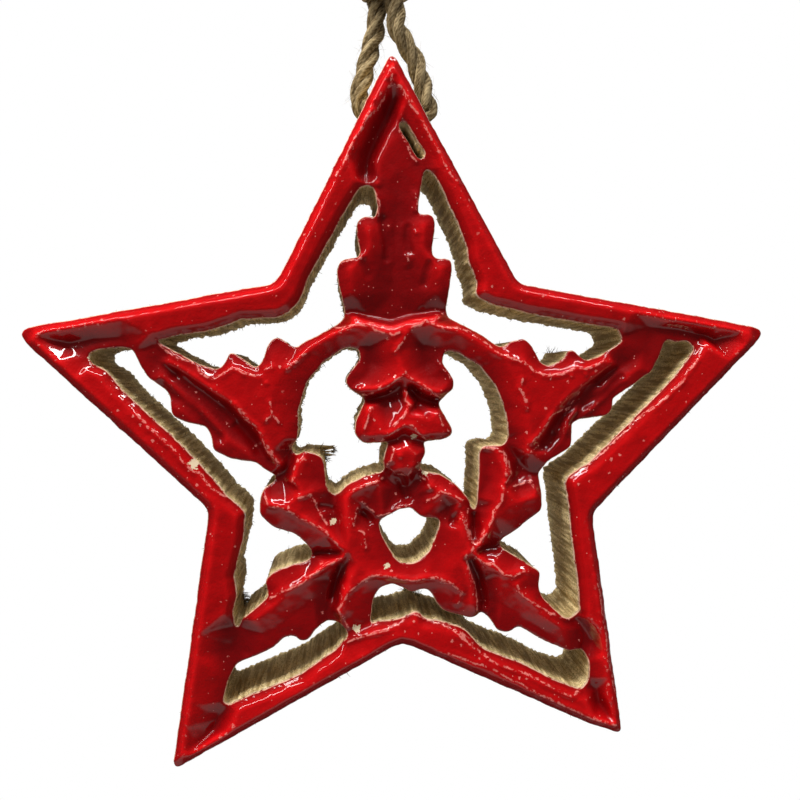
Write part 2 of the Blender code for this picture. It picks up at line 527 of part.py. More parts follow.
def smooth_route(route):
    """Evenly spaced points on a smooth curve through the route, with both ends straight."""
    ends = [hang(*route[0]), hang(*route[-1])]
    stops = [hang(*stop) for stop in route[1:-1]]
    stops = [stops[0] * 2 - stops[1]] + stops + [stops[-1] * 2 - stops[-2]]
    fine = []
    for a, b, c, d in zip(stops, stops[1:], stops[2:], stops[3:]):
        for i in range(ROUTE_STEPS):
            t = i / ROUTE_STEPS
            fine.append(
                (2 * b + (c - a) * t + (2 * a - 5 * b + 4 * c - d) * t ** 2
                 + (3 * b - a - 3 * c + d) * t ** 3) / 2
            )
    fine.append(stops[-2])
    travelled = [0.0]
    for here, following in zip(fine, fine[1:]):
        travelled.append(travelled[-1] + (following - here).length)
    count = max(2, round(travelled[-1] / (CORD_STEP * MM)))
    points = []
    for i in range(count + 1):
        target = travelled[-1] * i / count
        j = max(k for k in range(len(fine)) if travelled[k] <= target)
        if j == len(fine) - 1:
            points.append(fine[-1])
        else:
            share = (target - travelled[j]) / (travelled[j + 1] - travelled[j])
            points.append(fine[j].lerp(fine[j + 1], share))
    return ends[:1] + points + ends[1:]


def make_cord(name, route, material):
    """A stretch of the cord, as a round tube along its route."""
    points = smooth_route(route)
    curve = bpy.data.curves.new(name, "CURVE")
    curve.dimensions = "3D"
    curve.bevel_depth = CORD_RADIUS * MM
    curve.bevel_resolution = CORD_RESOLUTION
    curve.use_fill_caps = True
    spline = curve.splines.new("POLY")
    spline.points.add(len(points) - 1)
    for target, point in zip(spline.points, points):
        target.co = (*point, 1.0)
    return add_object(name, curve, material, (0, 0, 0))


def make_knot(material):
    """The knot, as a turned body with one swell for each wrap of the cord."""
    bm = bmesh.new()
    profile = [(0.0, 0.0)]
    for i in range(KNOT_RINGS + 1):
        share = i / KNOT_RINGS
        wrap = abs(sin(KNOT_WRAPS * pi * share))
        radius = KNOT_END_RADIUS + KNOT_SWELL * sin(pi * share) + KNOT_WRAP_SWELL * wrap
        profile.append((radius, share * KNOT_HEIGHT))
    profile.append((0.0, KNOT_HEIGHT))
    verts = [bm.verts.new((radius * MM, 0, height * MM)) for radius, height in profile]
    edges = [bm.edges.new(pair) for pair in zip(verts, verts[1:])]
    bmesh.ops.spin(
        bm, geom=verts + edges, cent=(0, 0, 0), axis=(0, 0, 1), angle=2 * pi,
        steps=KNOT_SIDES, use_merge=True,
    )
    bmesh.ops.remove_doubles(bm, verts=bm.verts, dist=MERGE * MM)
    bmesh.ops.recalc_face_normals(bm, faces=bm.faces)
    mesh = bpy.data.meshes.new("cord_knot")
    bm.to_mesh(mesh)
    bm.free()
    mesh.shade_smooth()
    mesh.set_sharp_from_angle(angle=KNOT_SHARP_ANGLE)
    return add_object("cord_knot", mesh, material, hang(KNOT_X, 0, KNOT_FOOT))


def make_hanger():
    """The jute cord: two legs out of the hole, the knot above them and the loop on top."""
    jute = make_material("jute", (0.30, 0.22, 0.12), 0.9)
    make_cord("cord_leg_left", LEFT_ROUTE, jute)
    make_cord("cord_leg_right", RIGHT_ROUTE, jute.copy())
    make_knot(jute.copy())
    left = [(KNOT_X + x, 0, LOOP_FOOT + height) for x, height in LOOP_SIDE]
    right = [(KNOT_X - x, 0, LOOP_FOOT + height) for x, height in reversed(LOOP_SIDE)]
    top = [(KNOT_X, 0, LOOP_FOOT + LOOP_RISE)]
    make_cord("cord_loop", left + top + right, jute.copy())


clear_scene()
make_star()
make_hanger()
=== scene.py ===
from functools import partialmethod
from math import ceil, cos, pi, sin, sqrt, tau

import bmesh
import bpy
import numpy as np
from mathutils import Matrix, Vector, noise
from mathutils.bvhtree import BVHTree
from mathutils.geometry import delaunay_2d_cdt
from mathutils.kdtree import KDTree

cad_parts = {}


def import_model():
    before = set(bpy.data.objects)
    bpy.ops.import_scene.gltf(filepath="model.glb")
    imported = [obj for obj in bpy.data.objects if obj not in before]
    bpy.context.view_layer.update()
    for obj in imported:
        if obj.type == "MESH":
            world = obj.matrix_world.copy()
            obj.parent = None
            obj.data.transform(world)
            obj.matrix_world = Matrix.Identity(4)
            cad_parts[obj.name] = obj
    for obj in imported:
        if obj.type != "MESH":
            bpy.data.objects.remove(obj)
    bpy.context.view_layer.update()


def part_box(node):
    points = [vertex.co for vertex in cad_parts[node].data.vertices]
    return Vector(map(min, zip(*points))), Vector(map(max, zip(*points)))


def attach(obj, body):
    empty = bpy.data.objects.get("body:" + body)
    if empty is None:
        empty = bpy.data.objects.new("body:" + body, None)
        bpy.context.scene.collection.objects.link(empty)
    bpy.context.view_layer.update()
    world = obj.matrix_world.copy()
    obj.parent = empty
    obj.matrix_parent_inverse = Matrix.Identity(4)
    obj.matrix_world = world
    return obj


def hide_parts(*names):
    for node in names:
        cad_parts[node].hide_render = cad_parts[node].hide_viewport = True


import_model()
MM = 0.001

# Where the star's drawing lies in the world, from its board; millimetres from here on
BOARD_THICK = 25.4
ORIGIN_X = 0.85
FRONT_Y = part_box("star_board")[1].y / MM - BOARD_THICK
ORIGIN_Z = -150.8
HOLE_Z = 84.5
HOLE_DEPTH = -FRONT_Y
HOLE_RADIUS = 3.0

# Camera, from the photograph's perspective
CAMERA_LENS = 36.0
CAMERA_PLACE = (-13.48, -193.8, 17.45)
CAMERA_SHIFT = -0.0276
CAMERA_AIM = Vector((0.0785, 0.9969, -0.0062))

# Lamps: name, place and size in metres, power in watts, and whether gloss shows them
LAMPS = (
    ("overhead", (-0.38, -0.1, 0.6), (0.8, 0.4), 12.6, False),
    ("strip", (0.05, -0.3, 0.5), (0.7, 0.035), 2.3, True),
    ("window", (-0.35, -0.35, 0.25), (0.04, 0.3), 0.55, True),
)
LAMP_AIM = Vector((0, 0, -0.15))

# Floor, in metres: its reach forward and back is from its own middle
FLOOR_Z = -0.7
FLOOR_MIDDLE = 0.45
FLOOR_SIDE = 0.8
FLOOR_FRONT = 0.18
FLOOR_BACK = 1.1

# Fineness of the meshes
FIELD_STEP = 0.4
SKIN_STEP = 0.45
RIM_STEP = 0.33
CORE_STEP = 3.0
BACK_STEP = 6.0

# The board's sawn edges and the enamel over them
EDGE_ROUND = 0.5
ROUND_ROWS = (0.06, 0.2, 0.45)
ROW_FREE = 0.93
ROW_THIN = 0.11
RIDGE_BLUR = 0.34
WIDE_BLUR = 1.1
SKIN_PROUD = 0.16
WOOD_LAP = 0.1
SAW_RIDGE = 0.26
BACK_CHAMFER = 0.25
FRONT_MARGIN = 1.6
BACK_MARGIN = 2.5
UNDER_SKIN = 1.0
UNDER_CELLS = 5

# Rows of the enamel's lip on the walls: how far out, and the share of the way down
LIP_ROWS = ((0, 0.45), (-0.04, 0.93), (-0.35, 1.0))
# Recess depth given to the lip on the walls, so that it takes the enamel's painted shade
LIP_RECESS = 2.5
LIP_LEAST = 0.22
LIP_MORE = 0.55

# Rows of the sawn walls: share of the way back, and the slot's flare and sink there
WALL_ROWS = [(0, 0.6, 0.35), (0.03, 0.15, 0.7), (0.08, 0, 0.4)]
WALL_ROWS += [(share, 0, 0) for share in (0.16, 0.28, 0.42, 0.57, 0.72, 0.86, 0.985)]

# The jute cord; its routes are those of the part's source, from the axis of the hole
PLIES = 3
PLY_RADIUS = 1.38
PLY_REACH = 1.2
LAY_LENGTH = 19.0
PLY_SIDES = 24
PLY_STEP = 0.4
HOLE_MIDDLE = -0.1
SEAT_GAP = 0.3
KNOT_HEIGHT = 14.0
LOOP_RISE = 25.0
LEFT_ROUTE = [
    (HOLE_MIDDLE - SEAT_GAP / 2, 0, 0), (-2.8, 0, 0), (-5.6, 0, 0.1), (-7.2, 0.1, 1.2),
    (-7.8, 0.2, 3.7), (-7.0, 0.3, 8.0), (-5.8, 0.6, 12.6), (-4.8, 1.1, 17.0), (-3.6, 1.7, 21.4),
    (-3.2, 2.0, 25.0), (-3.1, 2.1, 27.6), (-3.1, 2.1, 29.2),
]
RIGHT_ROUTE = [
    (HOLE_MIDDLE + SEAT_GAP / 2, 0, 0), (3.4, 0, 0), (6.4, 0, 0), (8.3, 0, -0.3),
    (9.8, -0.1, 0.4), (10.0, -0.2, 2.0), (9.2, -0.3, 4.6), (8.3, -0.5, 8.4), (7.1, -0.7, 12.4),
    (5.1, -1.1, 16.4), (2.3, -1.7, 20.8), (1.5, -2.0, 24.8), (1.4, -2.1, 27.6), (1.4, -2.1, 29.2),
]
LOOP_HALF = 2.7
LOOP_SIDE = [(-LOOP_HALF, 0), (-LOOP_HALF, 2), (-4.4, 8.5), (-6.4, 14.5), (-6.0, 20), (-3.4, 23.8)]
KNOT_X = (LEFT_ROUTE[-1][0] + RIGHT_ROUTE[-1][0]) / 2
KNOT_FOOT = LEFT_ROUTE[-1][2] + SEAT_GAP
LOOP_FOOT = KNOT_FOOT + KNOT_HEIGHT + SEAT_GAP
KNOT_TURN_RADIUS = 4.9
KNOT_TURNS = 3.6
KNOT_INSET = 2.4
LOOSE_FROM = 7
LOOSE_ROOTS = (1.7, 2.3)
LOOSE_LENGTHS = (1.2, 4.5)
LOOSE_THICK = 0.045
AROUND_PLY = np.arange(PLY_SIDES) * tau / PLY_SIDES

# The carver's ridges, as lines of x, z, x, z and so on, in tenths of a millimetre
CRESTS = [
    [-2, 913, -2, 881, -12, 863, -27, 833, -42, 808, -60, 795, -77, 762, -90, 747, -102, 722, -114, 690,
     -137, 652],
    [-2, 881, 20, 872, 38, 840, 55, 815, 73, 786, 88, 759, 108, 722, 123, 692, 146, 657, 161, 643],
    [15, 779, 23, 757, 35, 740, 45, 713, 60, 696],
    [-40, 617, -32, 599, -32, 578, -34, 558],
    [58, 616, 63, 594, 58, 575],
    [38, 463, 41, 441],
    [-127, 439, -106, 450, -77, 454],
    [-152, 285, -121, 285, -90, 289, -56, 292, -43, 278, -15, 272, 4, 267, 16, 271],
    [48, 286, 67, 292, 82, 304, 117, 288, 149, 287, 174, 284, 193, 273, 225, 254, 266, 222, 289, 213,
     311, 207, 334, 197],
    [35, 269, 23, 247, 4, 225],
    [-74, 121, -46, 125, -21, 138, -2, 150, 18, 166, 32, 178, 41, 163, 79, 145, 104, 122, 120, 114],
    [35, 125, 35, 106, 48, 94],
    [-31, 7, -15, 16, 4, 31, 23, 44, 35, 48, 51, 44, 67, 25, 85, 12],
    [-52, 88, -62, 57, -68, 38],
    [114, 75, 123, 50, 139, 31],
    [35, 78, 16, 59, 4, 44],
    [120, 197, 130, 178, 149, 159],
    [1, -6, 7, -19, -2, -34, -15, -56, 4, -66, 23, -75, 38, -78, 48, -63, 73, -41],
    [-96, -111, -59, -99, -21, -84],
    [70, -82, 86, -95, 95, -110],
    [222, -11, 254, -14, 273, -18, 283, -49, 279, -81],
    [321, 159, 314, 137, 321, 121, 334, 87],
    [-568, 251, -544, 228, -520, 213, -496, 204, -478, 196, -460, 176, -451, 167, -429, 161, -405, 175,
     -384, 188, -363, 179, -338, 167, -323, 164],
    [-308, 182, -293, 188],
    [-256, 185, -234, 201, -210, 221],
    [-378, 99, -366, 75, -351, 59, -332, 47, -317, 28, -311, 0, -299, -21, -271, -46],
    [-296, 105, -291, 74, -305, 60],
    [-291, 74, -276, 57],
    [-610, 76, -580, 45, -553, 20, -532, 2, -508, -26, -493, -48, -478, -60, -463, -66, -442, -94,
     -418, -116, -400, -128],
    [267, 220, 286, 214, 312, 208, 331, 201, 351, 179, 373, 170, 396, 167, 422, 171, 444, 179, 461, 189,
     477, 184, 493, 187, 526, 203],
    [322, 160, 315, 141, 325, 119, 333, 100],
    [470, 128, 448, 90, 422, 78, 396, 70, 380, 43, 370, 24, 348, 5],
    [338, -27, 364, -8],
    [493, -53, 519, -31, 549, -6, 582, 23, 611, 55, 650, 83, 680, 106, 716, 141, 736, 163, 745, 179,
     769, 208],
    [223, -10, 258, -17, 277, -20, 290, -49, 296, -77, 280, -96],
    [274, -108, 271, -140, 251, -168, 245, -193, 232, -219, 210, -247],
    [299, -109, 322, -101, 348, -95, 357, -119],
    [169, -167, 181, -205, 197, -237, 200, -259, 181, -275, 194, -325, 207, -351, 210, -386, 213, -417],
    [204, -275, 223, -294, 252, -301, 277, -321, 296, -327, 322, -318, 341, -315],
    [309, -350, 316, -369, 338, -388, 374, -408, 387, -418, 426, -438, 455, -445],
    [118, -339, 137, -340, 153, -350, 172, -369, 162, -394],
    [-310, -126, -297, -145, -270, -149, -232, -173, -193, -191, -163, -209, -124, -252],
    [-228, -37, -239, -61, -243, -92],
    [-228, -127, -197, -119, -184, -154, -159, -197],
    [-97, -113, -65, -99, -26, -86],
    [-73, -140, -58, -156, -34, -176, -7, -170, 17, -157],
    [-85, -156, -93, -183, -93, -206, -69, -218, -65, -253],
    [178, -139, 151, -127, 119, -117, 103, -131, 87, -138],
    [190, -163, 182, -187, 202, -250],
    [-108, -448, -132, -404, -108, -362, -85, -339, -58, -322, -23, -319, 17, -331, 44, -336, 76, -330,
     111, -327, 151, -344],
    [-124, -276, -147, -287, -178, -306, -209, -325, -228, -340, -267, -355, -286, -366, -297, -373],
    [-108, -483, -66, -468, -23, -454, 24, -435, 48, -416, 91, -435, 131, -446, 167, -466, 199, -491],
    [509, -333, 517, -368, 525, -433, 535, -472, 538, -533, 549, -583, 557, -614, 565, -637, 570, -680],
    [117, -510, 163, -523, 243, -552, 281, -575, 331, -600, 366, -624, 397, -636, 432, -653, 463, -669,
     506, -690, 560, -705],
    [127, -449, 147, -456, 174, -480, 199, -500, 243, -535, 277, -551, 331, -571, 366, -588, 397, -608,
     447, -630, 473, -623],
]

# The carver's grooves, or swells where the depth is negative: depth, half width, and line
VALLEYS = [
    (0.9, 3.2, [6, 849, -9, 789, -34, 743, -57, 698, -64, 667]),
    (0.7, 1.7, [-22, 553, -18, 520, -11, 489, -13, 458]),
    (0.6, 1.5, [40, 534, 38, 503, 46, 474]),
    (0.5, 1.6, [93, 444, 84, 415, 80, 395]),
    (0.5, 1.6, [-70, 449, -59, 416]),
    (0.7, 1.3, [-52, 106, -11, 122, 18, 144]),
    (1.3, 1.6, [49, 137, 75, 115, 106, 102]),
    (0.7, 1.6, [68, 87, 87, 71]),
    (0.45, 2.4, [-523, 170, -487, 142, -450, 120, -420, 99, -389, 74, -365, 46, -343, 15, -325, -10]),
    (0.35, 2.2, [498, 109, 472, 86, 439, 64, 410, 35, 381, 0]),
    (1, 1.5, [206, -183, 210, -215, 211, -237]),
    (0.8, 1.4, [216, -266, 264, -264]),
    (0.9, 1.5, [197, -294, 214, -330, 224, -368, 231, -407]),
    (1.1, 2, [18, -81, 30, -109, 38, -136]),
    (0.9, 1.4, [-73, -170, -53, -190]),
    (0.9, 1.4, [169, -162, 149, -197]),
    (0.9, 1.3, [-186, -269, -132, -268]),
    (0.9, 1.5, [-124, -303, -137, -338, -147, -381]),
    (0.6, 1.3, [-178, -153, -147, -161]),
    (0.6, 2.8, [575, 140, 546, 108, 520, 83, 493, 65, 465, 35, 433, 5, 410, -20]),
    (0.8, 1.4, [580, 165, 555, 146, 530, 122, 504, 101, 478, 82, 450, 49]),
    (0.9, 2.4, [-555, 145, -515, 113, -483, 90, -450, 55, -420, 20]),
    (-0.8, 1.8, [510, 138, 486, 118, 462, 98, 439, 64, 415, 30]),
    (-0.8, 1.6, [-510, 160, -482, 138, -453, 113, -423, 88, -390, 55]),
]

CREST_RISE = 0.4
CREST_STEP = 0.36
CREST_FINE = 0.12
CREST_REACH = 1.2
LEAST_DEPTH = 0.35

# Where a drop of enamel dried, written like a line
KNOBS = [
    61, 520, 82, 305, 446, 167, 483, 172, 175, -160, 150, -106, -304, 150, -86, 308, 19, -29,
    2, 926, -13, 892, 6, 885, -43, 839, -46, 812, -35, 638,
]
KNOB_RISE = 0.45
KNOB_REACH = 0.55

# Bare chips with their radius, tufts of torn fibre with their count, and other fibres
CHIPS = [
    (-14.5, -18.9, 0.9), (-1.3, -29.9, 0.8), (5.4, 1.7, 0.9), (8.4, -7.2, 1.0), (20.2, -14.9, 1.2),
    (-47.7, -4.4, 1.5), (-72.0, 21.2, 0.9), (-8.6, -45.3, 1.2), (23.3, -45.8, 1.6),
]
TUFTS = [(-13.8, -3.0, 40), (47.2, 23.6, 45), (-38.3, -42.8, 60), (7.0, -42.1, 50)]
TUFT_POINTS = 14
TUFT_DEPTHS = (21.5, 24.2)
TUFT_LENGTHS = (1.0, 2.4)
BRISTLES = 3400
BRISTLES_AT_BACK = 0.6
BACK_DEPTHS = (22, 25)
WALL_DEPTHS = (2, 24)
SPLINTER_LOW = (-19.5, -4.4)
SPLINTER_HIGH = (-14.0, -2.3)
SPLINTER_DEPTH = 22.6
SPLINTER_HAIRS = 22
SPLINTER_STRANDS = 9
SPLINTER_THICK = 0.55
BRISTLE_THICK = 0.1
HAIR_STEP = 0.6
SLOT_FLARE = 0.5
SLOT_PALE = 0.8

# Colours, as linear red, green and blue; where there are two, the darker is first
REDS = (0.38, 0.001, 0.002), (0.62, 0.002, 0.0035)
# Painted highlight that makes the enamel's crests a brighter red
CREST_HIGHLIGHT_RED = (0.9, 0.006, 0.008)
# Painted shade for the enamel's hollows and deep places, partly the darker tone of thick pooled enamel
POOLED_SHADE_RED = (0.13, 0.0008, 0.002)
# Pale pink of the enamel's marks: partly real wear, partly painted highlight
WEAR_AND_HIGHLIGHT_PINK = (0.95, 0.30, 0.25)
RIM_PINK = (0.95, 0.62, 0.42)
CHIP_WOOD = (0.82, 0.66, 0.44)
WALLS = (0.42, 0.29, 0.12), (0.99, 0.79, 0.42)
BACK = (0.30, 0.20, 0.09), (0.56, 0.42, 0.23)
STAIN = (0.36, 0.25, 0.10)
FRINGE = (0.97, 0.80, 0.52)
JUTE_DARK = (0.11, 0.068, 0.025)
# Painted shade between the cord's plies
GROOVE_SHADE_JUTE = (0.045, 0.028, 0.012)
CORD_PALE = (0.55, 0.42, 0.23)
LOOSE_PALE = (0.8, 0.65, 0.4)
TORN_PALE = (0.85, 0.68, 0.37)

rng = np.random.default_rng(7)


# Helpers for places and meshes

def world(points):
    """World positions, in metres, of rows of x, depth and z of the drawing, or of one point."""
    return (np.asarray(points, float) + (ORIGIN_X, FRONT_Y, ORIGIN_Z)) * MM


def linked(name, data):
    """A new object in the scene."""
    made = bpy.data.objects.new(name, data)
    bpy.context.scene.collection.objects.link(made)
    return made


def make_mesh(name, points, faces):
    """A smooth mesh from rows of x, depth and z in millimetres."""
    mesh = bpy.data.meshes.new(name)
    mesh.from_pydata(world(points).tolist(), [], faces)
    mesh.update()
    mesh.shade_smooth()
    return mesh


def store(mesh, name, values):
    """A number for each point of the mesh, which its material reads."""
    attribute = mesh.attributes.new(name, "FLOAT", "POINT")
    attribute.data.foreach_set("value", np.asarray(values, np.float32))


def joined_mesh(name, parts):
    """One mesh of parts, each with its points, faces, and groove and fibre numbers."""
    faces = []
    shift = 0
    for points, part_faces, _, _ in parts:
        faces += [tuple(i + shift for i in face) for face in part_faces]
        shift += len(points)
    mesh = make_mesh(name, np.vstack([part[0] for part in parts]), faces)
    store(mesh, "groove", np.concatenate([part[2] for part in parts]))
    store(mesh, "fibre", np.concatenate([part[3] for part in parts]))
    return mesh


def tube_faces(start, sides, rings):
    """Faces of a closed tube whose rings of points are numbered from the start."""
    faces = []
    last = start + (rings - 1) * sides
    for a in range(start, last, sides):
        for i in range(sides):
            j = (i + 1) % sides
            faces.append((a + i, a + j, a + sides + j, a + sides + i))
    faces.append(tuple(range(start, start + sides))[::-1])
    faces.append(tuple(range(last, last + sides)))
    return faces


def add(name, mesh, body, material):
    """A new piece that rides on a body."""
    piece = linked(name, mesh)
    mesh.materials.append(material)
    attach(piece, body)
    return piece


def noisy(points, *waves):
    """Smooth noise at rows of numbers: a sum of waves, each with its height, size and seed."""
    total = 0
    for height, size, seed in waves:
        shift = (seed * 17.3, seed * 5.1, seed * 9.7)
        rows = np.zeros((len(points), 3))
        rows[:, :np.shape(points)[1]] = np.asarray(points, float) / size
        total = total + height * np.array([noise.noise(row) for row in (rows + shift).tolist()])
    return total


def placed(points, depth):
    """Rows of x, depth and z from rows of x and z and their depth."""
    return np.column_stack([points[:, 0], np.broadcast_to(depth, len(points)), points[:, 1]])


def travelled(steps):
    """How far along a line each of its points is, from the lengths of its steps."""
    return np.concatenate([[0], np.cumsum(steps)])


def points_at(line, distances, marks):
    """The line's rows of numbers at marks along it."""
    return np.column_stack([np.interp(marks, distances, column) for column in line.T])


# The board's outline and the openings in it

def read_loops():
    """The edges of the board's flat back as closed loops, the outer one first."""
    mesh = bpy.data.objects["star_board"].data
    places = np.array([v.co for v in mesh.vertices]) / MM - (ORIGIN_X, FRONT_Y, ORIGIN_Z)
    names = [(round(x, 3), round(z, 3)) for x, _, z in places.tolist()]
    edges = set()
    for face in mesh.polygons:
        if min(places[i][1] for i in face.vertices) > BOARD_THICK - 0.01:
            ring = [names[i] for i in face.vertices]
            edges.update(zip(ring, ring[1:] + ring[:1]))
    following = {a: b for a, b in sorted(edges) if (b, a) not in edges}
    loops = []
    while following:
        first, here = following.popitem()
        loop = [first]
        while here != first:
            loop.append(here)
            here = following.pop(here)
        loops.append(np.array(loop))
    return sorted(loops, key=lambda loop: -abs(area(loop)))


def area(loop):
    """Area in a closed loop, positive when it runs anticlockwise."""
    x, z = loop.T
    return 0.5 * float(np.sum(x * np.roll(z, -1) - np.roll(x, -1) * z))


def resampled(loop):
    """The closed loop with evenly spaced points."""
    closed = np.vstack([loop, loop[:1]])
    distances = travelled(np.hypot(*np.diff(closed, axis=0).T))
    count = max(12, round(distances[-1] / RIM_STEP))
    return points_at(closed, distances, np.arange(count) * distances[-1] / count)


def softened(loop, reach):
    """The closed loop, blurred along its way round."""
    waves = np.fft.fftfreq(len(loop), RIM_STEP)
    keep = np.exp(-2 * (pi * waves * reach) ** 2)[:, None]
    return np.fft.ifft(np.fft.fft(loop, axis=0) * keep, axis=0).real


def outward(loop):
    """Unit rows that point out of the wood, which lies to the left of the way round."""
    ahead = np.roll(loop, -1, axis=0) - np.roll(loop, 1, axis=0)
    ahead /= np.hypot(*ahead.T)[:, None]
    return np.column_stack([ahead[:, 1], -ahead[:, 0]])


def hand_sawn(loop, is_outer):
    """The drawn loop as a hand-guided saw leaves it: softened, with small wanders."""
    if (area(loop) > 0) != is_outer:
        loop = loop[::-1]
    fine = softened(resampled(loop), 0.55)
    wander = noisy(fine, (0.16, 4.5, 1), (0.1, 1.4, 2), (0.05, 0.7, 3))
    return resampled(fine + outward(fine) * wander[:, None])


def in_wood(loops, points):
    """Which rows of x and z lie in the wood, from the edges to the left of each."""
    order = np.argsort(points[:, 1], kind="stable")
    xs, zs = points[order].T
    odd = np.zeros(len(points), bool)
    for loop in loops:
        ends = np.roll(loop, -1, axis=0)
        firsts = np.searchsorted(zs, np.minimum(loop[:, 1], ends[:, 1]))
        lasts = np.searchsorted(zs, np.maximum(loop[:, 1], ends[:, 1]))
        for (x0, z0), (x1, z1), first, last in zip(loop, ends, firsts, lasts):
            if last > first:
                crossing = x0 + (zs[first:last] - z0) / (z1 - z0) * (x1 - x0)
                odd[first:last] ^= crossing < xs[first:last]
    found = np.zeros(len(points), bool)
    found[order] = odd
    return found


def tree_of(points):
    """A search tree over rows of two numbers."""
    tree = KDTree(len(points))
    for i, (x, z) in enumerate(points.tolist()):
        tree.insert((x, z, 0), i)
    tree.balance()
    return tree


def distance_to(tree, points):
    """Distance of each row from the nearest point of the tree."""
    return np.array([tree.find((x, z, 0))[2] for x, z in points.tolist()])


def honeycomb(step, margin, tree):
    """Points in the wood in even rows, no nearer to its edges than the margin."""
    low, high = loops[0].min(axis=0), loops[0].max(axis=0)
    rows = []
    for j, z in enumerate(np.arange(low[1], high[1], step * sqrt(0.75))):
        xs = np.arange(low[0] + (j % 2) * step / 2, high[0], step)
        rows.append(np.column_stack([xs, np.full(len(xs), z)]))
    points = np.vstack(rows)
    points = points[in_wood(loops, points)]
    points += rng.uniform(-0.12, 0.12, points.shape) * step
    return points[distance_to(tree, points) > margin]


def triangles(loops, extra):
    """Points and triangles of the wood's face; the loops' own points come first."""
    given = np.vstack(loops + [extra])
    edges = []
    first = 0
    for loop in loops:
        ring = list(range(first, first + len(loop)))
        edges += list(zip(ring, ring[1:] + ring[:1]))
        first += len(loop)
    flat = [Vector(p) for p in given.tolist()]
    found, _, faces, origins, _, _ = delaunay_2d_cdt(flat, edges, [], 0, 1e-6, True)
    points = given.tolist()
    order = []
    for place, olds in zip(found, origins):
        order.append(min(olds) if olds else len(points))
        if not olds:
            points.append(list(place))
    points = np.array(points)
    faces = np.array(order)[np.array(faces)]
    return points, faces[in_wood(loops, points[faces].mean(axis=1))].tolist()


# The carved front, as a field of depths

def blurred(grid, mask, reach):
    """The grid blurred over the places that the mask keeps."""
    down, over = [np.fft.fftfreq(count, FIELD_STEP) for count in grid.shape]
    keep = np.exp(-2 * (pi * reach) ** 2 * (down[:, None] ** 2 + over ** 2))
    top, weight = [
        np.fft.ifft2(np.fft.fft2(part) * keep).real
        for part in (np.where(mask, grid, 0), mask.astype(float))
    ]
    return top / np.maximum(weight, 1e-9)


def sample(grid, points):
    """The grid's values at rows of x and z."""
    place = (points - grid_low) / FIELD_STEP
    place = np.clip(place, 0, np.array(grid.shape[::-1]) - 1.001)
    cell = place.astype(int)
    u, v = (place - cell).T
    i, j = cell.T
    below = grid[j, i] * (1 - u) + grid[j, i + 1] * u
    above = grid[j + 1, i] * (1 - u) + grid[j + 1, i + 1] * u
    return below * (1 - v) + above * v


def read_depths():
    """The carved depths from the enamel's solid, and which places have any."""
    mesh = bpy.data.objects["enamel_coat"].data
    corners = [v.co for v in mesh.vertices]
    surface = BVHTree.FromPolygons(corners, [tuple(face.vertices) for face in mesh.polygons])
    depth = np.zeros(grid_x.shape)
    wood = in_wood(loops, np.column_stack([grid_x.ravel(), grid_z.ravel()])).reshape(depth.shape)
    ahead = Vector((0, 1, 0))
    for cell in zip(*np.nonzero(wood)):
        hit = surface.ray_cast(Vector(world((grid_x[cell], -10, grid_z[cell]))), ahead)[0]
        if hit is None:
            wood[cell] = False
        else:
            depth[cell] = hit.y / MM - FRONT_Y
    return depth, wood


def near_line(line, reach):
    """How far each place on the grid lies from a line, and no more than the reach."""
    line = drawn(line)
    apart = np.full(grid_x.shape, float(reach))
    for (x, z), end in zip(line, line[1:]):
        way = end - (x, z)
        share = np.clip(((grid_x - x) * way[0] + (grid_z - z) * way[1]) / (way @ way), 0, 1)
        here = np.hypot(grid_x - x - share * way[0], grid_z - z - share * way[1])
        apart = np.minimum(apart, here)
    return apart


def drawn(line):
    """Rows of x and z in millimetres from a line's numbers."""
    return np.reshape(line, (-1, 2)) / 10


def along(line, step):
    """Evenly spaced points on an open line, with a small wander."""
    line = drawn(line)
    distances = travelled(np.hypot(*np.diff(line, axis=0).T))
    marks = np.linspace(0, distances[-1], max(2, round(distances[-1] / step)))
    points = points_at(line, distances, marks)
    wander = [noisy(points, (0.34, 1.7, seed), (0.14, 0.6, seed + 1)) for seed in (20, 22)]
    return points + np.column_stack(wander)


def hand_carved(depth):
    """The depths with the carver's grooves and the dried drops."""
    for rise, reach, line in VALLEYS:
        share = 1 - near_line(line, reach) / reach
        depth = depth + rise * share * share * (3 - 2 * share)
    for x, z in drawn(KNOBS):
        apart = np.hypot(grid_x - x, grid_z - z) / KNOB_REACH
        depth = depth - KNOB_RISE * np.exp(-apart ** 2)
    return depth


loops = [hand_sawn(loop, i == 0) for i, loop in enumerate(read_loops())]
rim = np.vstack(loops)
rim_tree = tree_of(rim)
rim_out = np.vstack([outward(loop) for loop in loops])
slot_share = np.zeros(len(rim))
slot_share[-len(loops[-1]):] = 1
grid_low = loops[0].min(axis=0) - 4
cells = np.ceil((loops[0].max(axis=0) + 4 - grid_low) / FIELD_STEP).astype(int)
grid_x, grid_z = np.meshgrid(*[low + np.arange(n) * FIELD_STEP for low, n in zip(grid_low, cells)])
carved, wood = read_depths()
ridge = hand_carved(blurred(carved, wood, RIDGE_BLUR))
wide = blurred(ridge, wood, WIDE_BLUR)
crest_tree = tree_of(np.vstack([along(line, CREST_FINE) for line in CRESTS]))


def tool_marks(points):
    """Small unevenness of the carver's knife and of the thick enamel."""
    return noisy(points, (0.15, 5.5, 3), (0.09, 2.4, 4), (0.035, 1.1, 5))


def skin_depth(points, distance, crest):
    """Depth of the enamel's surface, with its ridges, which rolls over the board's edges."""
    inward = np.clip(EDGE_ROUND - distance, 0, EDGE_ROUND)
    drop = EDGE_ROUND - np.sqrt(EDGE_ROUND ** 2 - inward ** 2)
    rise = CREST_RISE * np.clip(1 - crest / CREST_REACH, 0, 1)
    depth = sample(ridge, points) - rise + tool_marks(points)
    return np.maximum(depth, LEAST_DEPTH) + drop


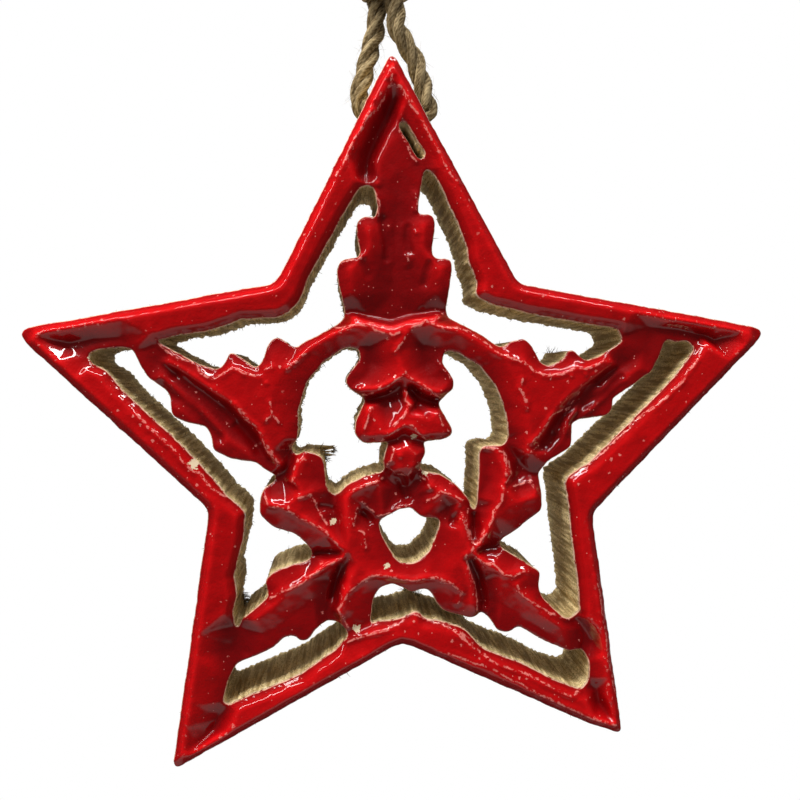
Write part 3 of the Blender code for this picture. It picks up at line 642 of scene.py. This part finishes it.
def offset_rows(edge, tree):
    """Points in rows beside the enamel's edge, where it is free of other edges."""
    rows = []
    distances = []
    for distance in ROUND_ROWS:
        points = edge - rim_out * distance
        if distance == ROUND_ROWS[-1]:
            points = points[::2]
        free = distance_to(tree, points) > ROW_FREE * distance
        rows.append(points[free])
        distances.append(np.full(free.sum(), distance))
    points = np.vstack(rows)
    distances = np.concatenate(distances)
    _, kept = np.unique(np.round(points / ROW_THIN).astype(int), axis=0, return_index=True)
    kept.sort()
    return points[kept], distances[kept]


def split(rows):
    """Rows for all the loops' points, as one array for each loop."""
    return np.split(rows, np.cumsum([len(loop) for loop in loops])[:-1])


def band(faces, first, second):
    """Faces between two rows of points that go round each loop."""
    start = 0
    for loop in loops:
        count = len(loop)
        for i in range(count):
            j = (i + 1) % count
            faces.append((first + start + i, first + start + j,
                          second + start + j, second + start + i))
        start += count


def skin_face(edge):
    """The enamel's front: its points and faces, and the points' distances from the edge."""
    tree = tree_of(edge)
    near, near_distance = offset_rows(edge, tree)
    far = honeycomb(SKIN_STEP, ROUND_ROWS[-1] + 0.2, tree)
    far = far[distance_to(crest_tree, far) > 0.7 * CREST_STEP]
    top = np.vstack([along(line, CREST_STEP) for line in CRESTS])
    top = top[in_wood(loops, top)]
    top = top[distance_to(tree, top) > ROUND_ROWS[-1] + 0.1]
    far = np.vstack([far, top])
    points, faces = triangles(split(edge), np.vstack([near, far]))
    known = np.concatenate([np.zeros(len(edge)), near_distance, distance_to(tree, far)])
    return points, faces, np.pad(known, (0, len(points) - len(known)))


def chip_radii(points):
    """How many radii each point is from the nearest bare chip, and no more than nine."""
    radii = np.full(len(points), 9.0)
    for x, z, radius in CHIPS:
        radii = np.minimum(radii, np.hypot(points[:, 0] - x, points[:, 1] - z) / radius)
    return radii


def make_skin(material):
    """The enamel: the carved front, its rolled edge and the ragged lip on the sawn walls."""
    edge = rim + rim_out * (SKIN_PROUD - SLOT_FLARE * slot_share)[:, None]
    points, faces, distance = skin_face(edge)
    crest = distance_to(crest_tree, points)
    depth = skin_depth(points, distance, crest)
    count = len(edge)
    lip = LIP_LEAST + LIP_MORE * np.clip(noisy(edge, (1, 1.1, 6), (0.25, 6, 7)), 0, 1)
    solid = [placed(points, depth)]
    above = 0
    for k, (sideways, down) in enumerate(LIP_ROWS):
        solid.append(placed(edge + rim_out * sideways, depth[:count] + lip * down))
        below = len(points) + k * count
        band(faces, above, below)
        above = below
    mesh = make_mesh("enamel_skin", np.vstack(solid), faces)
    recess = sample(ridge, points)
    chip = chip_radii(points)
    for name, values, on_lip in (
        ("crest", sample(wide, points) - recess, 0),
        # The recess depth drives the enamel's painted shade, on the lip as well
        ("recess", recess, LIP_RECESS),
        ("edge", distance, 0),
        ("line", crest, CREST_REACH),
        ("chip", chip, np.tile(chip[:count], len(LIP_ROWS))),
    ):
        rest = np.broadcast_to(on_lip, len(LIP_ROWS) * count)
        store(mesh, name, np.concatenate([values, rest]))
    skin = add("enamel_skin", mesh, "star", material)
    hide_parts("enamel_coat")


# The sawn board

def deepest(grid, cells):
    """The greatest depth within so many cells of each place."""
    for axis in (0, 1):
        grid = np.max([np.roll(grid, k, axis) for k in range(-cells, cells + 1)], axis=0)
    return grid


def saw_marks(points, depth):
    """How far the sawn walls stand out, in ridges that run straight through the board."""
    rows = np.column_stack([points, np.full(len(points), depth / 9)])
    return SAW_RIDGE * noisy(rows, (0.8, 0.8, 8), (0.45, 1.6, 9))


def wall_rows(edge_depth):
    """Rows of points from the enamel to the back, the last one on the back itself."""
    rows = []
    for share, flare, sink in WALL_ROWS:
        depth = edge_depth + share * (BOARD_THICK - edge_depth) + sink * slot_share
        stand = (1 + share) * saw_marks(rim, share * BOARD_THICK) - flare * slot_share
        rows.append(placed(rim + rim_out * stand[:, None], depth))
    last = rows[-1][:, [0, 2]] - rim_out * BACK_CHAMFER
    return rows + [placed(last, BOARD_THICK)]


def numbered(faces, edge_start, inner_start):
    """Faces with new numbers for the edge's points, which come first, and for the others."""
    count = len(rim)
    return [
        tuple(i + edge_start if i < count else i - count + inner_start for i in face)
        for face in faces
    ]


def make_board(material):
    """The board under the enamel, with saw marks on its walls and a flat back."""
    count = len(rim)
    edge_depth = skin_depth(rim, np.zeros(count), distance_to(crest_tree, rim)) - WOOD_LAP
    beside, apart = offset_rows(rim, rim_tree)
    core = honeycomb(CORE_STEP, FRONT_MARGIN, rim_tree)
    core = np.vstack([beside[apart == ROUND_ROWS[-1]], core])
    rows = wall_rows(edge_depth)
    front, front_faces = triangles(split(rows[0][:, [0, 2]]), core)
    core = honeycomb(BACK_STEP, BACK_MARGIN, rim_tree)
    back, back_faces = triangles(split(rows[-1][:, [0, 2]]), core)
    front = front[count:]
    back = back[count:]
    floor = sample(deepest(np.where(wood, ridge, 0), UNDER_CELLS), front) + UNDER_SKIN
    last_row = (len(rows) - 1) * count
    front_start = len(rows) * count
    back_start = front_start + len(front)
    faces = numbered(front_faces, 0, front_start)
    for k in range(len(rows) - 1):
        band(faces, k * count, (k + 1) * count)
    faces += numbered([face[::-1] for face in back_faces], last_row, back_start)
    solid = rows + [placed(front, floor), placed(back, BOARD_THICK)]
    mesh = make_mesh("board_wood", np.vstack(solid), faces)
    in_slot = 1 - SLOT_PALE * slot_share
    below = [(row[:, 1] - edge_depth - WOOD_LAP) * in_slot for row in rows]
    below += [np.zeros(len(front)), np.full(len(back), BOARD_THICK)]
    store(mesh, "below", np.concatenate(below))
    flat = np.zeros(back_start + len(back))
    flat[last_row:front_start] = 1
    flat[back_start:] = 1
    store(mesh, "flat", flat)
    board = add("board_wood", mesh, "star", material)
    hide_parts("star_board")
    return board


def drill(board):
    """The hole for the cord, sideways through the top arm."""
    bm = bmesh.new()
    bmesh.ops.create_cone(
        bm, cap_ends=True, segments=64, radius1=HOLE_RADIUS * MM, radius2=HOLE_RADIUS * MM,
        depth=40 * MM, matrix=Matrix.Rotation(pi / 2, 4, "Y"),
    )
    mesh = bpy.data.meshes.new("drill")
    bm.to_mesh(mesh)
    bm.free()
    cutter = linked("drill", mesh)
    cutter.location = world((HOLE_MIDDLE, HOLE_DEPTH, HOLE_Z))
    cut = board.modifiers.new("hole", "BOOLEAN")
    cut.operation = "DIFFERENCE"
    cut.solver = "EXACT"
    cut.object = cutter
    seen = board.evaluated_get(bpy.context.evaluated_depsgraph_get())
    drilled = bpy.data.meshes.new_from_object(seen)
    board.modifiers.clear()
    board.data = drilled
    bpy.data.objects.remove(cutter, do_unlink=True)


def bristle_fibres():
    """Root, way and length of the fibres on the walls and at the splinter's torn end."""
    picked = rng.integers(0, len(rim), BRISTLES)
    at_back = rng.random(BRISTLES) < BRISTLES_AT_BACK
    depths = np.where(
        at_back, rng.uniform(*BACK_DEPTHS, BRISTLES), rng.uniform(*WALL_DEPTHS, BRISTLES),
    )
    lengths = rng.gamma(2.0, 0.16, BRISTLES) + 0.15
    for x, z, count in TUFTS:
        near = np.argsort(np.hypot(rim[:, 0] - x, rim[:, 1] - z))[:TUFT_POINTS]
        picked = np.concatenate([picked, rng.choice(near, count)])
        depths = np.concatenate([depths, rng.uniform(*TUFT_DEPTHS, count)])
        lengths = np.concatenate([lengths, rng.uniform(*TUFT_LENGTHS, count)])
    fibres = []
    for i, depth, length in zip(picked, depths, lengths):
        lean = rng.normal(0, 0.35, 3)
        way = (rim_out[i, 0] + lean[0], -abs(lean[1]), rim_out[i, 1] + lean[2])
        fibres.append(((rim[i, 0], depth, rim[i, 1]), way, length))
    for _ in range(SPLINTER_HAIRS):
        x = SPLINTER_HIGH[0] - rng.uniform(0.2, 1.2)
        root = (x, SPLINTER_DEPTH, rng.uniform(SPLINTER_LOW[1], SPLINTER_HIGH[1]))
        way = (1, -abs(rng.normal(0, 0.3)), rng.normal(0, 0.9))
        fibres.append((root, way, rng.uniform(0.8, 1.7)))
    return fibres


def splinter_strands():
    """Root, way and length of the thick strands that make up the splinter."""
    heights = np.linspace(SPLINTER_LOW[1], SPLINTER_HIGH[1], SPLINTER_STRANDS)
    roots = [(SPLINTER_LOW[0], SPLINTER_DEPTH + rng.uniform(-1, 1), z) for z in heights]
    ways = [(1, 0, rng.normal(0, 0.12)) for _ in roots]
    reach = SPLINTER_HIGH[0] - SPLINTER_LOW[0]
    return list(zip(roots, ways, [reach + rng.uniform(-0.6, 0.3) for _ in roots]))


def make_bristles(material):
    """The torn fibres that the saw left standing on the walls and at their far edges."""
    parts = [hairs(bristle_fibres(), BRISTLE_THICK, 0.25, -0.2)]
    parts.append(hairs(splinter_strands(), SPLINTER_THICK, 0.1, 1))
    add("saw_bristles", joined_mesh("saw_bristles", parts), "star", material)


# The jute cord

def smooth_route(stops):
    """Evenly spaced points on a smooth curve through the stops, and how far along they are."""
    stops = np.array(stops, float)
    ahead = np.vstack([2 * stops[0] - stops[1], stops, 2 * stops[-1] - stops[-2]])
    fine = []
    for a, b, c, d in zip(ahead, ahead[1:], ahead[2:], ahead[3:]):
        for t in np.arange(16) / 16:
            fine.append(
                (2 * b + (c - a) * t + (2 * a - 5 * b + 4 * c - d) * t ** 2
                 + (3 * b - a - 3 * c + d) * t ** 3) / 2
            )
    fine = np.array(fine + [stops[-1]])
    distances = travelled(np.linalg.norm(np.diff(fine, axis=0), axis=1))
    marks = np.linspace(0, distances[-1], max(4, round(distances[-1] / PLY_STEP)) + 1)
    return points_at(fine, distances, marks), marks


def frames_along(points):
    """Two unit rows square to the route at each point, turned as little as can be."""
    ahead = np.gradient(points, axis=0)
    ahead /= np.linalg.norm(ahead, axis=1)[:, None]
    side = np.cross(ahead[0], (0.1, 1.0, 0.2))
    sides = []
    for way in ahead:
        side = side - way * np.dot(side, way)
        side /= np.linalg.norm(side)
        sides.append(side)
    sides = np.array(sides)
    return sides, np.cross(ahead, sides)


def fibres_round(mark, ply, seed):
    """Noise round a ply, in strands that wind along it."""
    twist = AROUND_PLY + mark * 0.22
    place = np.column_stack([
        np.cos(twist) * 2.2, np.sin(twist) * 2.2, np.full(PLY_SIDES, mark / 9 + ply * 31),
    ])
    return noisy(place, (1, 0.5, seed))


def strands(route, phase, seed):
    """The twisted plies along a route, as a part of a mesh, with their middle and its marks."""
    points, marks = smooth_route(route)
    first, second = frames_along(points)
    turn = tau * marks / LAY_LENGTH + phase
    solid, faces, groove, fibre = [], [], [], []
    for ply in range(PLIES):
        faces += tube_faces(len(solid) * PLY_SIDES, PLY_SIDES, len(points))
        lean = turn + ply * tau / PLIES
        rows = np.column_stack([marks, np.full(len(marks), ply * 9.0)])
        wander = noisy(rows, (0.14, 7, seed))
        for k, middle in enumerate(points):
            out = first[k] * cos(lean[k]) + second[k] * sin(lean[k])
            side = second[k] * cos(lean[k]) - first[k] * sin(lean[k])
            strand = fibres_round(marks[k], ply, seed + 1)
            radius = (PLY_RADIUS + wander[k]) * (1 + 0.14 * strand)
            ring = middle + out * PLY_REACH + radius[:, None] * (
                np.cos(AROUND_PLY)[:, None] * out + np.sin(AROUND_PLY)[:, None] * side
            )
            solid.append(ring)
            groove.append(np.linalg.norm(ring - middle, axis=1))
            fibre.append(strand)
    part = (np.vstack(solid), faces, np.concatenate(groove), np.concatenate(fibre))
    return part, points, marks


def hang(x, y, height):
    """A point of the drawing that is given from the axis of the hole."""
    return (x, HOLE_DEPTH + y, HOLE_Z + height)


def hair(root, way, length, thickness, curl):
    """Points of one tapered fibre, in rings of three, which bends on its way."""
    steps = max(4, ceil(length / HAIR_STEP))
    bend = Vector(rng.normal(0, curl, 3))
    way = Vector(way).normalized()
    place = Vector(root)
    points = []
    for k in range(steps + 1):
        side = way.orthogonal().normalized()
        other = way.cross(side)
        size = thickness * (1 - 0.8 * k / steps)
        for turn in (0, tau / 3, 2 * tau / 3):
            points.append(tuple(place + (side * cos(turn) + other * sin(turn)) * size))
        place = place + way * (length / steps)
        bend = bend * 0.8 + Vector(rng.normal(0, curl, 3)) * 0.6
        way = (way + bend / steps).normalized()
    return points


def hairs(fibres, thickness, curl, tone):
    """Thin fibres, each from its root, way and length, as a part of a mesh."""
    solid, faces = [], []
    for root, way, length in fibres:
        points = hair(root, way, length, thickness, curl)
        faces += tube_faces(len(solid), 3, len(points) // 3)
        solid += points
    groove = np.full(len(solid), PLY_REACH + PLY_RADIUS)
    return solid, faces, groove, np.full(len(solid), tone)


def make_loose_fibres(routes, material):
    """The stray fibres that stand off the cord."""
    fibres = []
    for route, count in routes:
        points, marks = smooth_route(route)
        first, second = frames_along(points)
        ahead = np.gradient(points, axis=0) / PLY_STEP
        open_part = np.flatnonzero(marks > LOOSE_FROM)
        for _ in range(count):
            k = int(rng.choice(open_part))
            turn = rng.uniform(0, tau)
            out = first[k] * cos(turn) + second[k] * sin(turn)
            root = points[k] + out * rng.uniform(*LOOSE_ROOTS)
            sign = 1 if rng.random() < 0.5 else -1
            way = ahead[k] * sign * rng.uniform(0.5, 1.6) + out * rng.uniform(0.15, 0.9)
            fibres.append((root, way, rng.uniform(*LOOSE_LENGTHS)))
    mesh = joined_mesh("loose_fibres", [hairs(fibres, LOOSE_THICK, 0.6, 0)])
    add("loose_fibres", mesh, "cord", material)


def knot_route():
    """The knot's turns, whose ends are tucked in."""
    turns = []
    for t in np.linspace(0, 1, 73):
        angle = tau * KNOT_TURNS * t
        tuck = min(1, 0.3 + 12 * min(t, 1 - t))
        radius = KNOT_TURN_RADIUS * tuck * (1 - 0.16 * abs(2 * t - 1) ** 3)
        rise = min(max(2 * t - 0.5, 0), 1)
        turns.append(hang(
            KNOT_X + radius * cos(angle), radius * sin(angle),
            KNOT_FOOT + KNOT_INSET + rise * (KNOT_HEIGHT - 2 * KNOT_INSET),
        ))
    return turns


def make_knot(material):
    """The knot: its turns, and the two legs that run on through it."""
    parts = [strands(knot_route(), 0.4, 31)[0]]
    for route, side, phase, seed in ((LEFT_ROUTE, -1, 1.9, 37), (RIGHT_ROUTE, 1, 0.7, 41)):
        through = [hang(*route[-1]), hang(KNOT_X + side * LOOP_HALF, 0, LOOP_FOOT)]
        parts.append(strands(through, phase, seed)[0])
    knot = add("knot_wraps", joined_mesh("knot_wraps", parts), "cord", material)
    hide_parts("cord_knot")
    return knot


def loop_stops():
    """The loop's route, up one side and down the other."""
    up = [(KNOT_X + x, 0, LOOP_FOOT + height) for x, height in LOOP_SIDE]
    down = [(KNOT_X - x, 0, LOOP_FOOT + height) for x, height in reversed(LOOP_SIDE)]
    return up + [(KNOT_X, 0, LOOP_FOOT + LOOP_RISE)] + down


def make_cord(material, fibre_material):
    """The cord's two legs, the knot above them and the loop that goes over a nail."""
    knot = make_knot(material)
    routes = []
    for name, node, stops, phase, seed, far_end, extra, count in (
        ("left_leg", "cord_leg_left", LEFT_ROUTE, 0.3, 11, "knot", [knot], 170),
        ("right_leg", "cord_leg_right", RIGHT_ROUTE, 1.2, 15, "knot", [knot], 190),
        ("hanging_loop", "cord_loop", loop_stops(), 2.0, 19, "object", [], 220),
    ):
        route = [hang(*stop) for stop in stops]
        routes.append((route, count))
        part, points, marks = strands(route, phase, seed)
        piece = add(name, joined_mesh(name, [part]), "cord", material)
        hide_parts(node)
    make_loose_fibres(routes, fibre_material)


# Materials

class Net:
    """A net of shader nodes, with short ways to add one that give back what it puts out."""

    def __init__(self, tree):
        self.tree = tree

    def put(self, socket, value):
        """Sets a socket to a value, or links another node's output to it."""
        if isinstance(value, bpy.types.NodeSocket):
            self.tree.links.new(value, socket)
        else:
            socket.default_value = value

    def add(self, kind, inputs=(), **settings):
        """A new node's outputs; inputs are given in the sockets' order, or by socket."""
        made = self.tree.nodes.new("ShaderNode" + kind)
        for name, value in settings.items():
            setattr(made, name, value)
        for socket, value in inputs.items() if isinstance(inputs, dict) else enumerate(inputs):
            self.put(made.inputs[socket], value)
        return made.outputs

    def dress(self, values):
        """Sets sockets of the Principled shader, by their names."""
        shader = self.tree.nodes["Principled BSDF"]
        for name, value in values.items():
            self.put(shader.inputs[name], value)
        return shader.outputs[0]

    def number(self, name):
        """A number that the mesh stores."""
        return self.add("Attribute", attribute_name=name)["Fac"]

    def place(self, scale=(1, 1, 1)):
        """Object coordinates, in millimetres times the scale."""
        own = self.add("TexCoord")["Object"]
        return self.add("Mapping", {"Vector": own, "Scale": [1000 * s for s in scale]})[0]

    def noise(self, place, scale, detail=2.0, roughness=0.5):
        inputs = {"Vector": place, "Scale": scale, "Detail": detail, "Roughness": roughness}
        return self.add("TexNoise", inputs)["Fac"]

    def step(self, value, low, high, to_low=0.0, to_high=1.0, kind="SMOOTHSTEP"):
        """The value's range from low to high, spread over another range and held at its ends."""
        inputs = (value, low, high, to_low, to_high)
        return self.add("MapRange", inputs, interpolation_type=kind)[0]

    def chain(self, operation, total, *values):
        """One operation over two or more values."""
        for value in values:
            total = self.add("Math", (total, value), operation=operation)[0]
        return total

    times = partialmethod(chain, "MULTIPLY")
    plus = partialmethod(chain, "ADD")
    most = partialmethod(chain, "MAXIMUM")

    def between(self, share, a, b):
        """A number between two, by a share."""
        return self.add("Mix", {0: share, 2: a, 3: b})[0]

    def colour(self, share, a, b):
        """A colour between two, by a share."""
        a, b = [(*c, 1) if isinstance(c, tuple) else c for c in (a, b)]
        return self.add("Mix", {0: share, 6: a, 7: b}, data_type="RGBA")[2]

    def bump(self, height, distance, strength):
        return self.add("Bump", {"Height": height, "Distance": distance, "Strength": strength})[0]


def new_material(name):
    """A material with a Principled shader, and its net of nodes."""
    material = bpy.data.materials.new(name)
    material.use_nodes = True
    return material, Net(material.node_tree)


def enamel_red(net, place, crest):
    """The enamel's red: painted shade where it lies deep and in its hollows, partly the darker tone of
    enamel pooled thick there, and a painted highlight that makes the crests brighter.
    """
    red = net.colour(net.noise(place, 0.22, 3.0), *REDS)
    # Painted highlight: the crests are made a brighter red
    high = net.times(net.step(crest, 0.02, 0.4), 0.5)
    # Painted shade in the hollows and deep places, partly the darker tone of thick pooled enamel
    hollow_shade = net.step(crest, -0.05, -0.9)
    deep_shade = net.step(net.number("recess"), 0.9, 3.4)
    pooled_shade = net.times(net.most(hollow_shade, deep_shade), 0.74)
    return net.colour(pooled_shade, net.colour(high, red, CREST_HIGHLIGHT_RED), POOLED_SHADE_RED)


def spots(net, place, scale, channel, chosen, reach, ragged=0.0):
    """Spots in some cells: how these are chosen by a channel, and how far a spot reaches."""
    cells = net.add("TexVoronoi", {"Vector": place, "Scale": scale})
    few = net.add("SeparateColor", [cells["Color"]])[channel]
    near = net.plus(cells["Distance"], ragged)
    return net.times(net.step(few, *chosen), net.step(near, *reach))


def pale_share(net, place, crest, streak):
    """How pale the enamel is: its specks, dried drops, worn crests and ridge lines, which are partly
    real wear and partly painted highlight.
    """
    ragged = net.times(net.noise(place, 2.4, 3.0), 0.36)
    specks = spots(net, place, 0.85, 0, (0.80, 0.84), (0.17, 0.08))
    drops = spots(net, place, 0.33, 1, (0.72, 0.74), (0.31, 0.25), ragged)
    worn_and_lit_crests = net.times(net.step(crest, 0.2, 0.45), net.step(streak, 0.58, 0.66))
    wavy = net.plus(net.number("line"), ragged, net.times(net.noise(place, 0.7), 0.7))
    line = net.times(net.step(wavy, 0.88, 0.64), net.step(streak, 0.45, 0.54))
    return net.times(net.most(specks, drops, worn_and_lit_crests, line), 0.72)


def enamel_material():
    """Thick glossy red enamel with pale marks that are partly wear and partly painted highlight,
    painted shade in its hollows, a thin rim and bare chips.
    """
    material, net = new_material("red_enamel_paint")
    place = net.place()
    crest = net.number("crest")
    streak = net.noise(place, 0.8, 4.0, 0.65)
    pale = pale_share(net, place, crest, streak)
    # The pale marks are partly real wear and partly painted highlight
    colour = net.colour(pale, enamel_red(net, place, crest), WEAR_AND_HIGHLIGHT_PINK)
    at_rim = net.step(net.number("edge"), 0.26, 0.08)
    thin = net.times(at_rim, net.step(streak, 0.36, 0.50), 0.8)
    torn = net.times(net.noise(place, 1.1, 4.0, 0.7), 2.6)
    bare = net.step(net.plus(net.number("chip"), torn), 2.1, 2.0)
    net.dress({
        "Base Color": net.colour(bare, net.colour(thin, colour, RIM_PINK), CHIP_WOOD),
        "Roughness": net.step(net.noise(place, 0.5, 3.0), 0.35, 0.7, 0.35, 0.55),
        "Specular IOR Level": 0.08,
        "Coat Weight": 1.0,
        "Coat Roughness": 0.05,
        "Coat IOR": 1.55,
        "Normal": net.bump(net.noise(place, 1.6, 4.0, 0.6), 0.00025, 0.5),
    })
    return material


def wood_material():
    """Raw sawn wood: torn fibres through the thickness, a pale fringe below the enamel."""
    material, net = new_material("sawn_wood")
    through = net.place((1.0, 0.07, 1.0))
    upright = net.place((1.0, 1.0, 0.045))
    place = net.place()
    flat = net.number("flat")
    fuzz = net.noise(place, 1.5, 3.0, 0.7)
    sawn = net.between(0.25, net.noise(through, 0.95, 3.0, 0.6), fuzz)
    streak = net.between(flat, sawn, net.noise(upright, 0.9, 5.0, 0.6))
    pits = net.step(net.noise(place, 2.1), 0.50, 0.38)
    share = net.times(net.step(streak, 0.41, 0.59), net.step(pits, 0, 1, 1, 0.1))
    walls = net.colour(share, *WALLS)
    tan = net.colour(flat, walls, net.colour(share, *BACK))
    stain = net.step(net.noise(place, 0.16, 3.0), 0.35, 0.75)
    tan = net.colour(net.times(stain, 0.35), tan, STAIN)
    reach = net.step(net.noise(through, 1.3, 3.0, 0.6), 0.3, 0.7, 0.1, 2.8)
    fringe = net.step(net.number("below"), 0.0, reach, 1.0, 0.0, "LINEAR")
    net.dress({
        "Base Color": net.colour(net.times(fringe, 0.68), tan, FRINGE),
        "Roughness": 0.85,
        "Specular IOR Level": 0.25,
        "Normal": net.bump(streak, 0.0008, 0.8),
    })
    return material


def jute_material(name, pale):
    """Dry jute: tan olive fibres, with painted shade between the plies."""
    material, net = new_material(name)
    place = net.place()
    mottle = net.noise(place, 0.9, 4.0, 0.65)
    light = net.plus(net.times(net.number("fibre"), 0.6), mottle)
    colour = net.colour(net.step(light, 0.2, 0.9), JUTE_DARK, pale)
    # Painted shade between the plies, where the surface lies near the cord's axis
    deep_shade = net.step(net.number("groove"), 1.9, 1.0)
    net.dress({
        "Base Color": net.colour(net.times(deep_shade, 0.85), colour, GROOVE_SHADE_JUTE),
        "Roughness": 0.9,
        "Specular IOR Level": 0.2,
        "Normal": net.bump(net.noise(place, 3.5, 3.0, 0.6), 0.0004, 0.7),
    })
    return material


# Camera, light, background and floor

def make_camera():
    data = bpy.data.cameras.new("camera")
    data.lens = CAMERA_LENS
    data.shift_y = CAMERA_SHIFT
    data.clip_start = 0.01
    camera = linked("camera", data)
    camera.location = world(CAMERA_PLACE)
    camera.rotation_euler = CAMERA_AIM.to_track_quat("-Z", "Y").to_euler()
    bpy.context.scene.camera = camera


def make_lamp(name, place, size, power, in_gloss):
    """A soft area lamp, aimed at the star."""
    data = bpy.data.lights.new(name, "AREA")
    data.shape = "RECTANGLE"
    data.size, data.size_y = size
    data.energy = power
    lamp = linked(name, data)
    lamp.location = place
    lamp.rotation_euler = (LAMP_AIM - Vector(place)).to_track_quat("-Z", "Y").to_euler()
    lamp.visible_glossy = in_gloss


def make_world():
    """A white room: seen by the camera all round, and in gloss behind and low in front."""
    sky = bpy.data.worlds.new("studio")
    bpy.context.scene.world = sky
    sky.use_nodes = True
    sky.node_tree.nodes.clear()
    net = Net(sky.node_tree)
    path = net.add("LightPath")
    way = net.add("SeparateXYZ", [net.add("TexCoord")["Generated"]])
    low = net.times(net.step(way["Z"], -0.5, -0.85), net.step(way["Y"], 0.0, -0.3))
    white = net.add("Background", ((1, 1, 1, 1), 1.0))[0]
    room = net.add("Background", ((1, 1, 1, 1), 0.26))[0]
    table = net.add("Background", ((1, 0.88, 0.84, 1), net.step(low, 0, 1, 0.03, 0.55)))[0]
    rest = net.add("MixShader", (path["Is Glossy Ray"], room, table))[0]
    mirror = net.most(path["Is Glossy Ray"], path["Is Transmission Ray"])
    mirror = net.times(mirror, net.step(way["Y"], 0.3, 0.8))
    share = net.most(path["Is Camera Ray"], mirror)
    mix = net.add("MixShader", (share, rest, white))[0]
    net.add("OutputWorld", [mix])


def floor_material():
    """Pale and plain: to the camera it is white away from the star's shadow."""
    material, net = new_material("pale_floor")
    shader = net.dress({
        "Base Color": (0.85, 0.85, 0.85, 1), "Roughness": 0.95, "Specular IOR Level": 0.0,
    })
    path = net.add("LightPath")
    place = net.add("TexCoord")["Object"]
    away = net.add("VectorMath", [place], operation="LENGTH")["Value"]
    far = net.step(away, 0.1, FLOOR_FRONT)
    glow = net.add("Emission", {"Strength": 0.55})[0]
    lit = net.add("AddShader", (shader, glow))[0]
    white = net.add("Emission", {"Strength": 1.0})[0]
    seen = net.add("MixShader", (far, lit, white))[0]
    share = net.most(path["Is Camera Ray"], path["Is Glossy Ray"], path["Is Transmission Ray"])
    mix = net.add("MixShader", (share, shader, seen))[0]
    net.put(net.tree.nodes["Material Output"].inputs["Surface"], mix)
    return material


def make_floor():
    """A pale floor low behind the star."""
    bpy.ops.mesh.primitive_plane_add(size=1, location=(0, FLOOR_MIDDLE, FLOOR_Z))
    floor = bpy.context.object
    floor.name = "floor"
    for corner in floor.data.vertices:
        corner.co.x *= 2 * FLOOR_SIDE
        corner.co.y = FLOOR_BACK if corner.co.y > 0 else -FLOOR_FRONT
    floor.data.materials.append(floor_material())


make_camera()
make_world()
for lamp in LAMPS:
    make_lamp(*lamp)
make_floor()
make_cord(jute_material("jute_cord", CORD_PALE), jute_material("jute_fibres", LOOSE_PALE))
make_skin(enamel_material())
drill(make_board(wood_material()))
make_bristles(jute_material("torn_fibres", TORN_PALE))

bpy.context.scene.view_settings.view_transform = "Standard"
